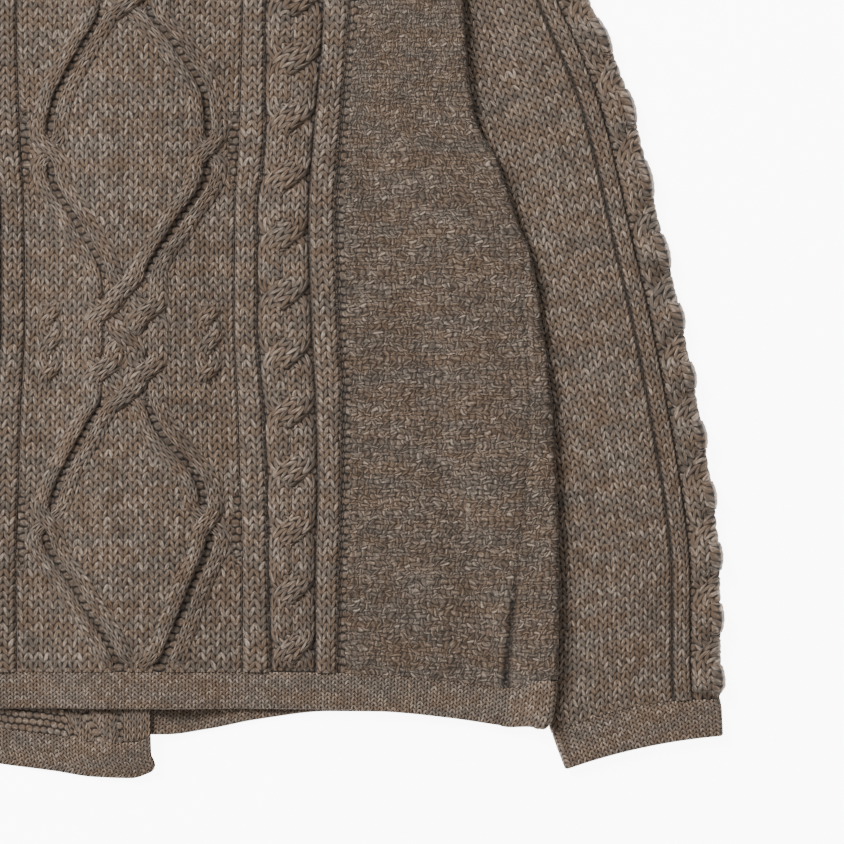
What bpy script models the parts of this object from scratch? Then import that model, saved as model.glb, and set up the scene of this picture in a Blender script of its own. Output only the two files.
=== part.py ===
"""A cable knit cardigan that lies flat on its front, with its sleeves drawn down beside the body.

Tables and lengths are in millimetres, and the meshes are made in metres. X runs across the back,
Y from the hem to the neck and Z up from the table. In the drafting frame X = 0 is the middle of
the back and Y = 0 the lower edge of the back's hem; ORIGIN_Y moves that to the middle of the
garment's outline. The right side (+X) is drafted, and the left side is its mirror image apart from
the fronts, which overlap at the middle.
"""

import math

import bmesh
import bpy
import numpy as np

# Driving dimensions, in millimetres
MM = 0.001
ORIGIN_Y = 256.4
WALL = 2.2
SEAM = 0.45
SIDE_SEAM = 1.0
LAYER_GAP = 0.9
CLEARANCE = 0.3
HEM_DEPTH = 20.5
CUFF_DEPTH = 20.0
BAND_LEFT, BAND_RIGHT = -3.2, 14.0
BUTTON_RADIUS, BUTTON_DEPTH = 7.5, 2.0
BUTTON_FIRST, BUTTON_PITCH, BUTTON_COUNT = 24.0, 86.0, 6
SLEEVE_FOLD = 1.7
NECK_HALF, NECK_LOW, NECK_RISE = 92.0, 521.0, 32.0
FRONT_NECK_LOW, FRONT_NECK_MIDDLE = 462.0, 10.0
FRONT_NECK_ANGLES = np.radians((12.0, 25.0, 38.0, 50.0, 61.0, 71.0, 81.0, 90.0))
NECKBAND, NECKBAND_CORNER = 17.0, 16.0
SHOULDER_X, SHOULDER_Y = 198.8, 530.0
BAND_RELIEF = 0.5
BAND_EDGE = 1.2

# How the layers rise and fall: a height, and spans over which it comes or goes
LIFT, RAMP, RAMP_END = 6.0, 25.0, 1.0
RIDGE, RIDGE_LEFT, RIDGE_RIGHT = 4.7, (-52.0, -7.0), (17.0, 62.0)
PUFF, PUFF_START, PUFF_EDGE = 2.6, (45.0, 95.0), (4.0, 49.0)
PUFF_LOW, PUFF_HIGH = (-5.0, 55.0), (420.0, 500.0)
EDGE_FULLNESS, EDGE_SPAN = 1.2, (-18.0, -4.0)
RIGHT_PLACKET, LEFT_PLACKET = (14.0, 40.0), (3.0, 38.0)
LEFT_PLACKET_LOW = (-48.0, -18.0)
NEAR_FOLD = 2.0
SLEEVE_RIDGE, SLEEVE_RIDGE_INNER, SLEEVE_RIDGE_OUTER = 2.7, (8.0, 34.0), (0.0, 0.22)
CUFF_ROWS, CALM_ROWS, CALM = (1.0, 2.0), (1.5, 5.5), 0.45
SLEEVE_SOFT_EDGE = 6.0
BODY_EDGE = (0.0, 6.0)

# Raised knitting, as heights over the bare wall
GROUND, RIB, ROPE, DIAMOND, MOSS = 0.6, 1.3, 2.1, 2.0, 0.5
ROPE_TURN, ROPE_UNDER, ROPE_STRAND = 33.0, 0.44, 0.56
STRAND_HALF, STRAND_UNDER = 6.2, 0.56
GROUND_EDGE, MOSS_EDGE = 2.5, 3.0
OFF_TABLE = (1.2, 3.2)
SLEEVE_ROPE_HALF = 14.5
SLEEVE_RIB = 11.0

# The side fold of the body: y, x, and how far the front comes round it onto the back
SIDE = np.array(
    (
        (-14.0, 232.0, 25.0),
        (-4.5, 237.5, 27.0),
        (20.7, 240.2, 28.0),
        (71.1, 240.8, 24.0),
        (140.0, 238.6, 15.5),
        (177.5, 235.8, 12.0),
        (216.7, 230.7, 9.0),
        (248.1, 226.2, 5.5),
        (273.3, 217.3, 0.0),
        (304.1, 207.2, 0.0),
        (329.3, 194.3, 0.0),
        (362.3, 189.8, 0.0),
        (395.9, 187.6, 0.0),
        (430.0, 185.5, 0.0),
        (470.0, 187.0, 0.0),
        (505.0, 192.0, 0.0),
        (531.0, 198.8, 0.0),
        (560.0, 206.0, 0.0),
    )
)

# The lower edge of the back: x, y
BACK_HEM = np.array(
    (
        (0.0, -1.1),
        (112.0, -2.0),
        (146.0, -3.4),
        (180.0, -6.7),
        (213.0, -11.2),
        (228.0, -12.9),
        (236.0, -9.0),
        (243.0, -5.0),
    )
)

# The lower edges of the fronts, by distance along the cloth from the middle: distance, right, left
FRONT_HEM = np.array(
    (
        (-14.0, -16.2, -36.5),
        (0.0, -16.2, -41.0),
        (22.0, -16.2, -40.3),
        (45.0, -13.4, -37.0),
        (72.0, -8.0, -33.6),
        (112.0, -3.4, -26.5),
        (160.0, -4.0, -19.5),
        (200.0, -8.6, -15.0),
        (232.0, -11.5, -12.0),
        (244.0, -5.0, -5.0),
        (262.0, -10.0, -10.0),
        (280.0, -11.4, -11.4),
    )
)

# The sleeve's rows from the end of the cuff to the armhole: inner x, y and outer x, y
SLEEVE = np.array(
    (
        (244.7, -35.8, 333.4, -16.8),
        (241.0, -15.9, 332.6, 3.6),
        (216.2, 59.9, 331.5, 80.0),
        (191.0, 171.9, 314.6, 195.0),
        (179.8, 239.1, 298.2, 269.0),
        (157.4, 306.3, 279.6, 345.0),
        (142.0, 346.0, 258.7, 395.9),
        (134.0, 366.0, 241.4, 435.1),
        (129.5, 379.0, 221.8, 479.9),
        (127.0, 388.0, 197.5, 527.0),
    )
)

# Grooves of the back's side panel: y, then x of the rope's two grooves and the outer rib's far one
GROOVES = np.array(
    (
        (-20.0, 79.5, 104.2, 117.0),
        (25.2, 79.5, 104.2, 117.0),
        (79.5, 77.3, 104.2, 118.2),
        (124.9, 77.3, 105.3, 119.3),
        (169.7, 75.6, 104.2, 119.8),
        (215.0, 72.2, 101.9, 117.6),
        (275.5, 72.2, 100.2, 115.9),
        (320.3, 76.7, 103.0, 118.2),
        (395.9, 76.7, 108.6, 123.8),
        (560.0, 76.7, 106.0, 121.0),
    )
)
INNER_GROOVE = 60.5

# Middle lines of the diamonds' four lanes: y, then x from the outer left to the outer right
LANES = np.array(
    (
        (15.0, -8.0, 3.0, 9.0, 21.0),
        (31.9, -15.7, -2.8, 15.1, 29.1),
        (65.5, -36.1, -22.4, 28.0, 41.4),
        (96.3, -53.5, -40.0, 38.6, 52.1),
        (112.6, -49.8, -36.2, 35.0, 48.6),
        (124.9, -45.9, -32.5, 32.8, 46.5),
        (157.9, -28.6, -15.4, 9.0, 22.4),
        (174.0, -20.5, -8.4, 4.8, 17.0),
        (240.0, -20.0, -7.6, 4.4, 17.2),
        (269.9, -34.7, -21.3, 19.9, 33.6),
        (300.7, -50.7, -37.5, 37.0, 50.4),
        (323.1, -51.0, -38.1, 37.5, 50.4),
        (339.9, -47.9, -35.0, 36.4, 49.3),
        (367.9, -33.3, -20.2, 21.3, 35.0),
        (391.0, -21.5, -9.0, 5.4, 18.6),
        (458.0, -20.0, -7.6, 4.4, 17.2),
        (488.3, -34.7, -21.3, 19.9, 33.6),
        (519.0, -50.7, -37.5, 37.0, 50.4),
        (560.0, -51.0, -38.1, 37.5, 50.4),
    )
)

# Crossings of neighbouring lanes: y, half height, lane at the left, and which strand is on top:
# +1 the one that rises to the right, -1 the one that rises to the left
CROSSINGS = (
    (22.0, 8.0, 1, 1),
    (104.2, 10.0, 0, -1),
    (104.2, 10.0, 2, 1),
    (174.2, 8.0, 1, 1),
    (188.7, 8.0, 0, 1),
    (188.7, 8.0, 2, 1),
    (206.6, 8.5, 1, -1),
    (221.2, 8.0, 0, 1),
    (221.2, 8.0, 2, 1),
    (234.6, 8.0, 1, 1),
    (312.5, 10.0, 0, -1),
    (312.5, 10.0, 2, 1),
    (392.6, 8.0, 1, 1),
    (407.1, 8.0, 0, 1),
    (407.1, 8.0, 2, 1),
    (425.0, 8.5, 1, -1),
    (439.6, 8.0, 0, 1),
    (439.6, 8.0, 2, 1),
    (453.0, 8.0, 1, 1),
)

# The small three-turn cables that stand beside each braid
MINI_MIDDLE, MINI_HALF, MINI_TURN, MINI_HEIGHT = 44.5, 8.4, 16.0, 1.4
MINI_PLACES = (204.0, 422.4)

WOOL = (0.160, 0.120, 0.095, 1.0)
BAND_WOOL = (0.150, 0.112, 0.088, 1.0)
HORN = (0.075, 0.052, 0.038, 1.0)
WOOL_ROUGHNESS, HORN_ROUGHNESS = 0.95, 0.35

# How finely the pieces are divided, and the share of the triangles that is kept
BACK_SPANS, BACK_HEM_SPANS, BACK_ROWS = (14, 4, 8, 4, 15, 5), (4, 2, 2, 2, 4, 4), 96
BESIDE_GROOVE, LOW_BEND, HIGH_BEND = 0.06, 60.0, 90.0
RAMP_CELLS, ARC_CELLS, ARC_SHARE = 5, 5, 0.85
FRONT_LEVELS = ((HEM_DEPTH, 90.0, 8), (90.0, 400.0, 27), (400.0, 540.0, 8))
UNDER_CELLS, PLAIN_CELLS, CABLE_CELLS, PLAIN_SHARE = 8, 9, 13, 0.65
SLEEVE_ROWS, BAND_COLUMNS, BAND_ROWS, NECKBAND_COLUMNS = 62, 4, 9, 25
BUTTON_SIDES, BUTTON_EDGE = 16, 0.5
BACK_KEEP, FRONT_KEEP, SLEEVE_KEEP, CUFF_KEEP = 0.17, 0.34, 0.165, 0.7


def clear_scene():
    for old in list(bpy.data.objects):
        bpy.data.objects.remove(old, do_unlink=True)


def step(t):
    """0 before t = 0 and 1 after t = 1, with a soft rise between."""
    t = np.clip(t, 0.0, 1.0)
    return t * t * (3.0 - 2.0 * t)


def rise(value, span):
    """A soft step from 0 at the start of a span to 1 at its end."""
    return step((value - span[0]) / (span[1] - span[0]))


def smooth(table, at, column=1):
    """A table's column as a smooth function of its first column, with no overshoot."""
    xs, ys = table[:, 0], table[:, column]
    width = np.diff(xs)
    slope = np.diff(ys) / width
    product = slope[:-1] * slope[1:]
    inner = np.where(product > 0, 2 * product / (slope[:-1] + slope[1:] + 1e-12), 0.0)
    tangent = np.concatenate([[slope[0]], inner, [slope[-1]]])
    at = np.clip(at, xs[0], xs[-1])
    i = np.clip(np.searchsorted(xs, at) - 1, 0, len(width) - 1)
    t = (at - xs[i]) / width[i]
    held = (1 + 2 * t) * (1 - t) ** 2 * ys[i] + t * t * (3 - 2 * t) * ys[i + 1]
    return held + width[i] * (t * (1 - t) ** 2 * tangent[i] - t * t * (1 - t) * tangent[i + 1])


# Heights of the layers

INNER_EDGE = SLEEVE[:, 1::-1]
MOUTH_TOP = np.array(((430.0, 146.0), (480.0, 170.0), (530.0, 194.0), (560.0, 206.0)))
SLEEVE_UNDER = np.concatenate([INNER_EDGE, MOUTH_TOP])


def body_lift(x, y):
    """How far the sleeve under the body's side lifts both of the body's layers."""
    return LIFT * rise(x - smooth(SLEEVE_UNDER, y), (-RAMP, -RAMP_END))


def placket_lift(side, x, y):
    """How far the buttons, and on the left the other band, lift a front near its edge."""
    if side > 0:
        return (BUTTON_DEPTH + CLEARANCE) * (1 - rise(x, RIGHT_PLACKET))
    under = BUTTON_DEPTH + WALL + 2 * CLEARANCE
    return under * (1 - rise(x, LEFT_PLACKET)) * rise(y, LEFT_PLACKET_LOW)


def front_mid(side, x, y):
    """Height of the middle of the front's wall, x being measured outwards."""
    return WALL / 2 + body_lift(x, y) + placket_lift(side, x, y)


def back_mid(x, y):
    """Height of the middle of the back's wall, with its soft puff beside the sleeve."""
    out = np.abs(x)
    ridge = RIDGE * rise(x, RIDGE_LEFT) * (1 - rise(x, RIDGE_RIGHT))
    puff = PUFF * rise(out, PUFF_START) * rise(smooth(SLEEVE_UNDER, y) - out, PUFF_EDGE)
    puff = puff * rise(y, PUFF_LOW) * (1 - rise(y, PUFF_HIGH))
    full = EDGE_FULLNESS * rise(out - smooth(SIDE, y), EDGE_SPAN)
    return WALL * 1.5 + LAYER_GAP + ridge + puff + full + body_lift(out, y)


def side_fold(side, y):
    """The body's side fold at y: x of its arc's centre, that centre's height, and its radius."""
    edge = smooth(SIDE, y) - WALL / 2
    low = front_mid(side, edge - NEAR_FOLD, y)
    high = back_mid(side * (edge - NEAR_FOLD), y)
    radius = (high - low) / 2
    return edge - radius, (high + low) / 2, radius


def back_point(x, y):
    """A point of the back's middle surface, x being measured along the cloth."""
    side = np.where(x < 0, -1.0, 1.0)
    out = np.abs(x)
    centre, height, radius = side_fold(1, y)
    turn = np.clip((out - centre) / radius, 0.0, math.pi)
    flat = np.minimum(out, centre)
    z = np.where(turn > 0, height + radius * np.cos(turn), back_mid(side * flat, y))
    return np.stack([side * (flat + radius * np.sin(turn)), y, z], axis=-1)


def front_point(side, out, y):
    """A point of a front's middle surface, measured along the cloth and round the side fold."""
    centre, height, radius = side_fold(side, y)
    turn = np.clip((out - centre) / radius, 0.0, math.pi)
    past = np.maximum(out - centre - math.pi * radius, 0.0)
    flat = np.minimum(out, centre)
    z = np.where(turn > 0, height - radius * np.cos(turn), front_mid(side, flat, y))
    z = np.where(past > 0, back_mid(side * (centre - past), y), z)
    return np.stack([side * (flat + radius * np.sin(turn) - past), y, z], axis=-1)


def back_seam(y):
    """Distance along the cloth from the middle of the back to the side seam."""
    centre, _, radius = side_fold(1, y)
    return centre + radius * math.pi / 2 - smooth(SIDE, y, 2)


def front_seam(side, y):
    """Distance along the cloth from the middle of a front, round the fold, to the side seam."""
    centre, _, radius = side_fold(side, y)
    return centre + radius * math.pi / 2 + smooth(SIDE, y, 2)


# Raised knitting


def rope(across, along, half, turn, height):
    """Two strands that change places once a turn; the one that rises to the right is on top."""
    result = 0.0
    for strand in range(2):
        phase = math.pi * (along / turn + strand)
        middle = -half / 2 * np.cos(phase)
        level = 1 - (1 - ROPE_UNDER) * (1 - np.sin(phase)) / 2
        inside = 1 - ((across - middle) / (half * ROPE_STRAND)) ** 2
        result = np.maximum(result, height * level * np.sqrt(np.maximum(inside, 0.0)))
    return result


def diamond_strands(y):
    """x, lean and level of the four strands of the diamonds at each height y."""
    order = [0, 1, 2, 3]
    lanes = [smooth(LANES, y, 1 + k) for k in range(4)]
    places = [lane.copy() for lane in lanes]
    levels = [np.zeros_like(y) for _ in order]
    for middle, reach, lane, top in CROSSINGS:
        t = (y - middle + reach) / (2 * reach)
        rising, falling = order[lane], order[lane + 1]
        shift = step(t) * (lanes[lane + 1] - lanes[lane])
        places[rising] = np.where(t > 0, lanes[lane] + shift, places[rising])
        places[falling] = np.where(t > 0, lanes[lane + 1] - shift, places[falling])
        bump = np.sqrt(np.sin(math.pi * np.clip(t, 0.0, 1.0)))
        levels[rising] = levels[rising] + top * bump
        levels[falling] = levels[falling] - top * bump
        order[lane], order[lane + 1] = falling, rising
    return places, levels


def diamonds(x, y):
    """The diamonds' ropes, each as wide as its lean across the rows makes it."""
    result = np.zeros_like(x)
    places, levels = diamond_strands(y)
    above, _ = diamond_strands(y + 1.0)
    for place, higher, level in zip(places, above, levels):
        half = STRAND_HALF * np.sqrt(1 + (higher - place) ** 2)
        inside = 1 - ((x - place) / half) ** 2
        share = 1 - (1 - STRAND_UNDER) * (1 - level) / 2
        result = np.maximum(result, DIAMOND * share * np.sqrt(np.maximum(inside, 0.0)))
    return result


def back_relief(x, y):
    """Height of the knitting over the back's bare wall."""
    out = np.abs(x)
    left, right, far = (smooth(GROOVES, y, k) for k in (1, 2, 3))
    ground = GROUND * step((INNER_GROOVE - out) / GROUND_EDGE)
    ground = np.maximum(ground, diamonds(x, y) * (out < INNER_GROOVE))
    for place in MINI_PLACES:
        near = np.abs(y - place) < 1.5 * MINI_TURN
        mini = rope(x - np.sign(x) * MINI_MIDDLE, y - place, MINI_HALF, MINI_TURN, MINI_HEIGHT)
        ground = np.maximum(ground, mini * near)
    ribs = np.zeros_like(x)
    for low, high in ((INNER_GROOVE, left), (right, far)):
        t = np.clip((out - low) / (high - low), 0.0, 1.0)
        ribs = np.maximum(ribs, RIB * np.sqrt(np.sin(math.pi * t)))
    half = (right - left) / 2
    across = (out - (left + right) / 2) * np.sign(x + 1e-9)
    twist = rope(across, y, half, ROPE_TURN, ROPE) * (np.abs(across) < half)
    moss = MOSS * step((out - far) / MOSS_EDGE)
    return np.maximum.reduce([ground, ribs, twist, moss])


def sleeve_relief(distance, along, z):
    """Height of the sleeve's knitting, by distance round the cloth from its outer fold."""
    twist = rope(distance, along, SLEEVE_ROPE_HALF, ROPE_TURN, ROPE)
    t = np.clip((distance - SLEEVE_ROPE_HALF) / SLEEVE_RIB, 0.0, 1.0)
    rib = RIB * np.sqrt(np.sin(math.pi * t))
    raised = np.maximum(twist * (np.abs(distance) < SLEEVE_ROPE_HALF), rib)
    return raised * rise(z, OFF_TABLE)


# Making solids


def material(name, colour, roughness):
    made = bpy.data.materials.new(name)
    made.use_nodes = True
    shader = made.node_tree.nodes["Principled BSDF"]
    shader.inputs["Base Color"].default_value = colour
    shader.inputs["Roughness"].default_value = roughness
    shader.inputs["Metallic"].default_value = 0.0
    made.diffuse_color = colour
    return made


def normals_of(mid, closed):
    """Unit normals of a grid of points, across its columns and then its rows."""
    if closed:
        ring = mid[:, :-1]
        across = np.roll(ring, -1, axis=1) - np.roll(ring, 1, axis=1)
        across = np.concatenate([across, across[:, :1]], axis=1)
    else:
        across = np.gradient(mid, axis=1)
    along = np.gradient(mid, axis=0)
    normal = np.cross(across, along)
    return normal / np.linalg.norm(normal, axis=-1, keepdims=True)


def knitted(name, mid, raised=0.0, closed=False, flip=False, keep=1.0, colour=WOOL):
    """A wall round a grid of middle points: a plain inside, and an outside moved out by the
    wall and by what is raised on it. keep is the share of the triangles that is kept."""
    rows, columns = mid.shape[:2]
    normal = normals_of(mid, closed) * (-1.0 if flip else 1.0)
    raised = np.broadcast_to(raised, mid.shape[:2])[..., None]
    inner = (mid - normal * WALL / 2).reshape(-1, 3)
    outer = (mid + normal * (WALL / 2 + raised)).reshape(-1, 3)
    shift = np.array((0.0, -ORIGIN_Y, 0.0))

    bm = bmesh.new()
    number = bm.verts.layers.int.new("number")
    bmesh.ops.create_grid(bm, x_segments=columns - 1, y_segments=rows - 1, size=1.0)
    for vertex in bm.verts:
        column = round((vertex.co.x + 1.0) / 2.0 * (columns - 1))
        row = round((vertex.co.y + 1.0) / 2.0 * (rows - 1))
        vertex[number] = row * columns + column
        vertex.co = (inner[vertex[number]] + shift) * MM
    if closed:
        bmesh.ops.remove_doubles(bm, verts=bm.verts[:], dist=1e-6)
    grown = bmesh.ops.extrude_face_region(bm, geom=bm.faces[:])["geom"]
    for vertex in grown:
        if isinstance(vertex, bmesh.types.BMVert):
            vertex.co = (outer[vertex[number]] + shift) * MM
    bmesh.ops.recalc_face_normals(bm, faces=bm.faces[:])
    if bm.calc_volume(signed=True) < 0:
        bmesh.ops.reverse_faces(bm, faces=bm.faces[:])
    return finish(name, bm, colour, keep)


def finish(name, bm, colour, keep):
    mesh = bpy.data.meshes.new(name)
    bm.to_mesh(mesh)
    bm.free()
    mesh.shade_smooth()
    piece = bpy.data.objects.new(name, mesh)
    CARDIGAN.objects.link(piece)
    mesh.materials.append(material(name, colour, WOOL_ROUGHNESS))
    if keep < 1.0:
        thinned = piece.modifiers.new("Decimate", "DECIMATE")
        thinned.ratio = keep
    return piece


# The pieces


def back_columns(spans):
    """Places of the back's columns on one side: which groove they start from, and the share of
    the way to the next one. spans counts the cells between each pair of grooves."""
    places = []
    for span, cells in enumerate(spans):
        inside = np.linspace(BESIDE_GROOVE, 1.0 - BESIDE_GROOVE, cells - 1)
        places += [(span, 0.0)] + [(span, share) for share in inside]
    return places + [(len(spans) - 1, 1.0)]


def back_top(x):
    """The back's upper edge: the neck seam, and the shoulder line beside it."""
    out = np.abs(x)
    neck = NECK_LOW + NECK_RISE * (np.minimum(out, NECK_HALF) / NECK_HALF) ** 3
    slope = (SHOULDER_Y - NECK_LOW - NECK_RISE) / (SHOULDER_X - NECK_HALF)
    return neck + slope * np.maximum(out - NECK_HALF, 0.0)


def back_rows(low, high):
    """Heights of the back's points, row by row between its two edges."""
    start, end = HEM_DEPTH, NECK_LOW + NECK_RISE / 2
    level = np.linspace(start, end, BACK_ROWS)[:, None]
    near_low = 1 - rise(level, (start, start + LOW_BEND))
    near_high = rise(level, (end - HIGH_BEND, end))
    return level + near_low * (low - start) + near_high * (high - end)


def grooves_at(y):
    """Distances from the middle of the back of the lines that its columns follow."""
    left, right, far = (smooth(GROOVES, y, k) for k in (1, 2, 3))
    seam = back_seam(y) - SIDE_SEAM / 2
    bend = np.minimum(side_fold(1, y)[0], seam - NEAR_FOLD)
    return np.stack([0 * y, 0 * y + INNER_GROOVE, left, right, far, bend, seam])


def back_distances(places, y):
    """Distances of the back's columns from its middle, at each row's heights."""
    lines = grooves_at(y)
    out = np.empty_like(y)
    for column, (k, share) in enumerate(places):
        out[:, column] = lines[k, :, column] * (1 - share) + lines[k + 1, :, column] * share
    return out


def make_back():
    places = back_columns(BACK_SPANS)
    flat = np.ones((1, len(places)))
    at_hem = back_distances(places, flat * HEM_DEPTH)[0]
    at_neck = back_distances(places, flat * SHOULDER_Y)[0]
    low = smooth(BACK_HEM, at_hem) + HEM_DEPTH + SEAM
    y = back_rows(low, back_top(at_neck))
    out = back_distances(places, y)
    x = np.concatenate([-out[:, :0:-1], out], axis=1)
    y = np.concatenate([y[:, :0:-1], y], axis=1)
    return knitted("back", back_point(x, y), back_relief(x, y), keep=BACK_KEEP)


def make_back_hem():
    places = back_columns(BACK_HEM_SPANS)
    flat = np.full((1, len(places)), HEM_DEPTH)
    y = hem_heights(smooth(BACK_HEM, back_distances(places, flat)[0]))
    half = back_distances(places, y)
    x = np.concatenate([-half[:, :0:-1], half], axis=1)
    y = np.concatenate([y[:, :0:-1], y], axis=1)
    raised = np.array((0.0, BAND_RELIEF, BAND_RELIEF, BAND_RELIEF, 0.0))[:, None]
    return knitted("back_hem_band", back_point(x, y), raised, colour=BAND_WOOL)


def front_start(side):
    """Distance from the middle to a front's free edge, beside its button band."""
    return (BAND_RIGHT if side > 0 else -BAND_LEFT) + SEAM / 2


def neck_line(side, inset):
    """The front neck's seam, or a line inside it, as part of an ellipse: x outwards, then y."""
    across = NECK_HALF - FRONT_NECK_MIDDLE - inset
    depth = NECK_LOW + NECK_RISE - FRONT_NECK_LOW - inset
    first = math.asin((front_start(side) - FRONT_NECK_MIDDLE) / across)
    angle = np.concatenate([[first], FRONT_NECK_ANGLES])
    return FRONT_NECK_MIDDLE + across * np.sin(angle), NECK_LOW + NECK_RISE - depth * np.cos(angle)


def front_columns(side, y, hem=False):
    """Distances of a front's columns along its cloth, at heights y, one column in each of the
    last axis's places: across the chest, up the ramp over the sleeve, and round the side fold
    to the side seam."""
    centre, _, radius = side_fold(side, y)
    length = front_seam(side, y) - SIDE_SEAM / 2 - centre
    arc = np.minimum(math.pi * radius, ARC_SHARE * length)
    foot = np.minimum(smooth(SLEEVE_UNDER, y), centre - NEAR_FOLD) - RAMP
    chest = list(neck_line(side, 0.0)[0])
    if hem:
        chest = [BAND_LEFT if side > 0 else -BAND_RIGHT] + chest
    lines = [place + 0 * y for place in chest]
    lines.append((lines[-1] + foot) / 2)
    lines += [foot + RAMP * share for share in np.linspace(0.0, 1.0, RAMP_CELLS + 1)]
    lines.append((foot + RAMP + centre) / 2)
    lines += [centre + arc * share for share in np.linspace(0.0, 1.0, ARC_CELLS + 1)]
    lines += [centre + (arc + length) / 2, centre + length]
    return np.stack(lines)


def front_distances(side, y, hem=False):
    """The front's columns, each at its own heights in a grid of rows and columns."""
    lines = front_columns(side, y, hem)
    numbers = np.arange(y.shape[1])
    return lines[numbers, :, numbers].T


def level_columns(side, level, hem=False):
    return front_columns(side, np.array([level]), hem)[:, 0]


def make_front(side, name):
    hem_column = 1 if side > 0 else 2
    levels = np.concatenate([np.linspace(*span)[:-1] for span in FRONT_LEVELS])
    at_hem = level_columns(side, HEM_DEPTH / 2)
    at_neck = level_columns(side, SHOULDER_Y)
    low = smooth(FRONT_HEM, at_hem, hem_column) + HEM_DEPTH + SEAM
    neck_x, neck_y = neck_line(side, 0.0)
    shoulder = back_top(np.minimum(at_neck[len(neck_x) :], SHOULDER_X))
    levels = np.append(levels, FRONT_LEVELS[-1][1])
    t = ((levels - levels[0]) / (levels[-1] - levels[0]))[:, None]
    y = low + (np.concatenate([neck_y, shoulder]) - low) * t
    mid = front_point(side, front_distances(side, y), y)
    return knitted(name, mid, flip=side > 0, keep=FRONT_KEEP)


def hem_heights(low):
    """Heights of a band's rows over its lower edge."""
    depth = np.array((0.0, BAND_EDGE, HEM_DEPTH / 2, HEM_DEPTH - BAND_EDGE, HEM_DEPTH))
    return low + depth[:, None]


def make_front_hem(side, name):
    hem_column = 1 if side > 0 else 2
    at_hem = level_columns(side, HEM_DEPTH / 2, hem=True)
    y = hem_heights(smooth(FRONT_HEM, at_hem, hem_column))
    mid = front_point(side, front_distances(side, y, hem=True), y)
    return knitted(name, mid, flip=side > 0, colour=BAND_WOOL)


def sleeve_ring(row):
    """Where the sleeve's rows start and end in plan, smoothly between the table's rows."""
    numbers = np.arange(len(SLEEVE), dtype=float)
    table = np.column_stack([numbers, SLEEVE])
    points = [smooth(table, row, k) for k in (1, 2, 3, 4)]
    return np.stack(points[:2], axis=-1), np.stack(points[2:], axis=-1)


def sleeve_puff(share, row, x, y):
    """How much fuller than flat the sleeve is, clear of the body that lies on it."""
    beside = rise(x - smooth(SIDE, y), SLEEVE_RIDGE_INNER)
    calm = CALM + (1 - CALM) * rise(row, CALM_ROWS)
    return SLEEVE_RIDGE * beside * rise(1.0 - share, SLEEVE_RIDGE_OUTER) * calm * rise(row, CUFF_ROWS)


def sleeve_grid(rows):
    """The sleeve's middle surface from the inner fold along the underside, round the outer fold
    and back over the top, with each point's distance from the outer fold."""
    inner, outer = sleeve_ring(rows)
    width = np.linalg.norm(outer - inner, axis=-1)
    lean = (outer - inner) / width[:, None]
    under = np.linspace(0.0, 1.0, UNDER_CELLS + 1)
    plain = np.linspace(0.0, PLAIN_SHARE, PLAIN_CELLS, endpoint=False)
    over = np.concatenate([plain, np.linspace(PLAIN_SHARE, 1.0, CABLE_CELLS + 1)])[::-1]
    arc = np.linspace(0.0, math.pi, UNDER_CELLS + 1)
    radius = SLEEVE_FOLD
    quarter = radius * math.pi / 2
    start = WALL / 2 + radius
    grids = []
    distances = []
    for number, row in enumerate(rows):
        end = width[number] - start - ROPE
        bottom = start + (end - start) * under
        top = start + (end - start) * over
        out_arc = end + radius * np.sin(arc[1:-1])
        in_arc = start - radius * np.sin(arc[1:])
        place = np.concatenate([bottom, out_arc, top, in_arc])
        plan = inner[number] + lean[number] * place[:, None]
        soft = step((top - start) / SLEEVE_SOFT_EDGE) * step((end - top) / SLEEVE_SOFT_EDGE)
        first = len(bottom) + len(out_arc)
        above = plan[first : first + len(top)]
        puff = soft * sleeve_puff(top / width[number], row, above[:, 0], above[:, 1])
        height = np.concatenate(
            [
                0 * bottom,
                radius - radius * np.cos(arc[1:-1]),
                2 * radius + puff,
                radius + radius * np.cos(arc[1:]),
            ]
        )
        distance = np.concatenate(
            [
                bottom - end - quarter,
                radius * arc[1:-1] - quarter,
                end - top + quarter,
                0 * in_arc + width[number],
            ]
        )
        grids.append(np.column_stack([plan, WALL / 2 + height]))
        distances.append(distance)
    return np.array(grids), np.array(distances)


def mirrored(mid, side):
    return mid * np.array((side, 1.0, 1.0))


def make_sleeve(side, name):
    rows = np.linspace(1.0, len(SLEEVE) - 1.0, SLEEVE_ROWS)
    rows[0] += SEAM / CUFF_DEPTH
    mid, distance = sleeve_grid(rows)
    along = mid[:, UNDER_CELLS : UNDER_CELLS + 1, 1] + 0 * distance
    raised = sleeve_relief(distance, along, mid[..., 2])
    raised = raised * rise(mid[..., 0] - smooth(SIDE, mid[..., 1]), BODY_EDGE)
    return knitted(name, mirrored(mid, side), raised, True, flip=side > 0, keep=SLEEVE_KEEP)


def make_cuff(side, name):
    edge = BAND_EDGE / CUFF_DEPTH
    mid, _ = sleeve_grid(np.array((0.0, edge, 0.5, 1.0 - edge, 1.0)))
    raised = BAND_RELIEF * rise(mid[..., 2], OFF_TABLE)
    mid = mirrored(mid, side)
    return knitted(name, mid, raised, True, flip=side > 0, keep=CUFF_KEEP, colour=BAND_WOOL)


def make_band(side, name, height):
    """A button band: a strip from the hem band to the top of the neckband."""
    x = np.linspace(BAND_LEFT, BAND_RIGHT, BAND_COLUMNS)
    ends = smooth(FRONT_HEM, side * x[[0, -1]], 1 if side > 0 else 2) + HEM_DEPTH + SEAM
    low = np.interp(x, x[[0, -1]], ends)
    share = np.linspace(0.0, 1.0, BAND_ROWS)[:, None]
    y = low + (FRONT_NECK_LOW + NECKBAND - low) * share
    x = x + 0 * y
    return knitted(name, np.stack([x, y, height(x, y)], axis=-1), flip=True, colour=BAND_WOOL)


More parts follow.
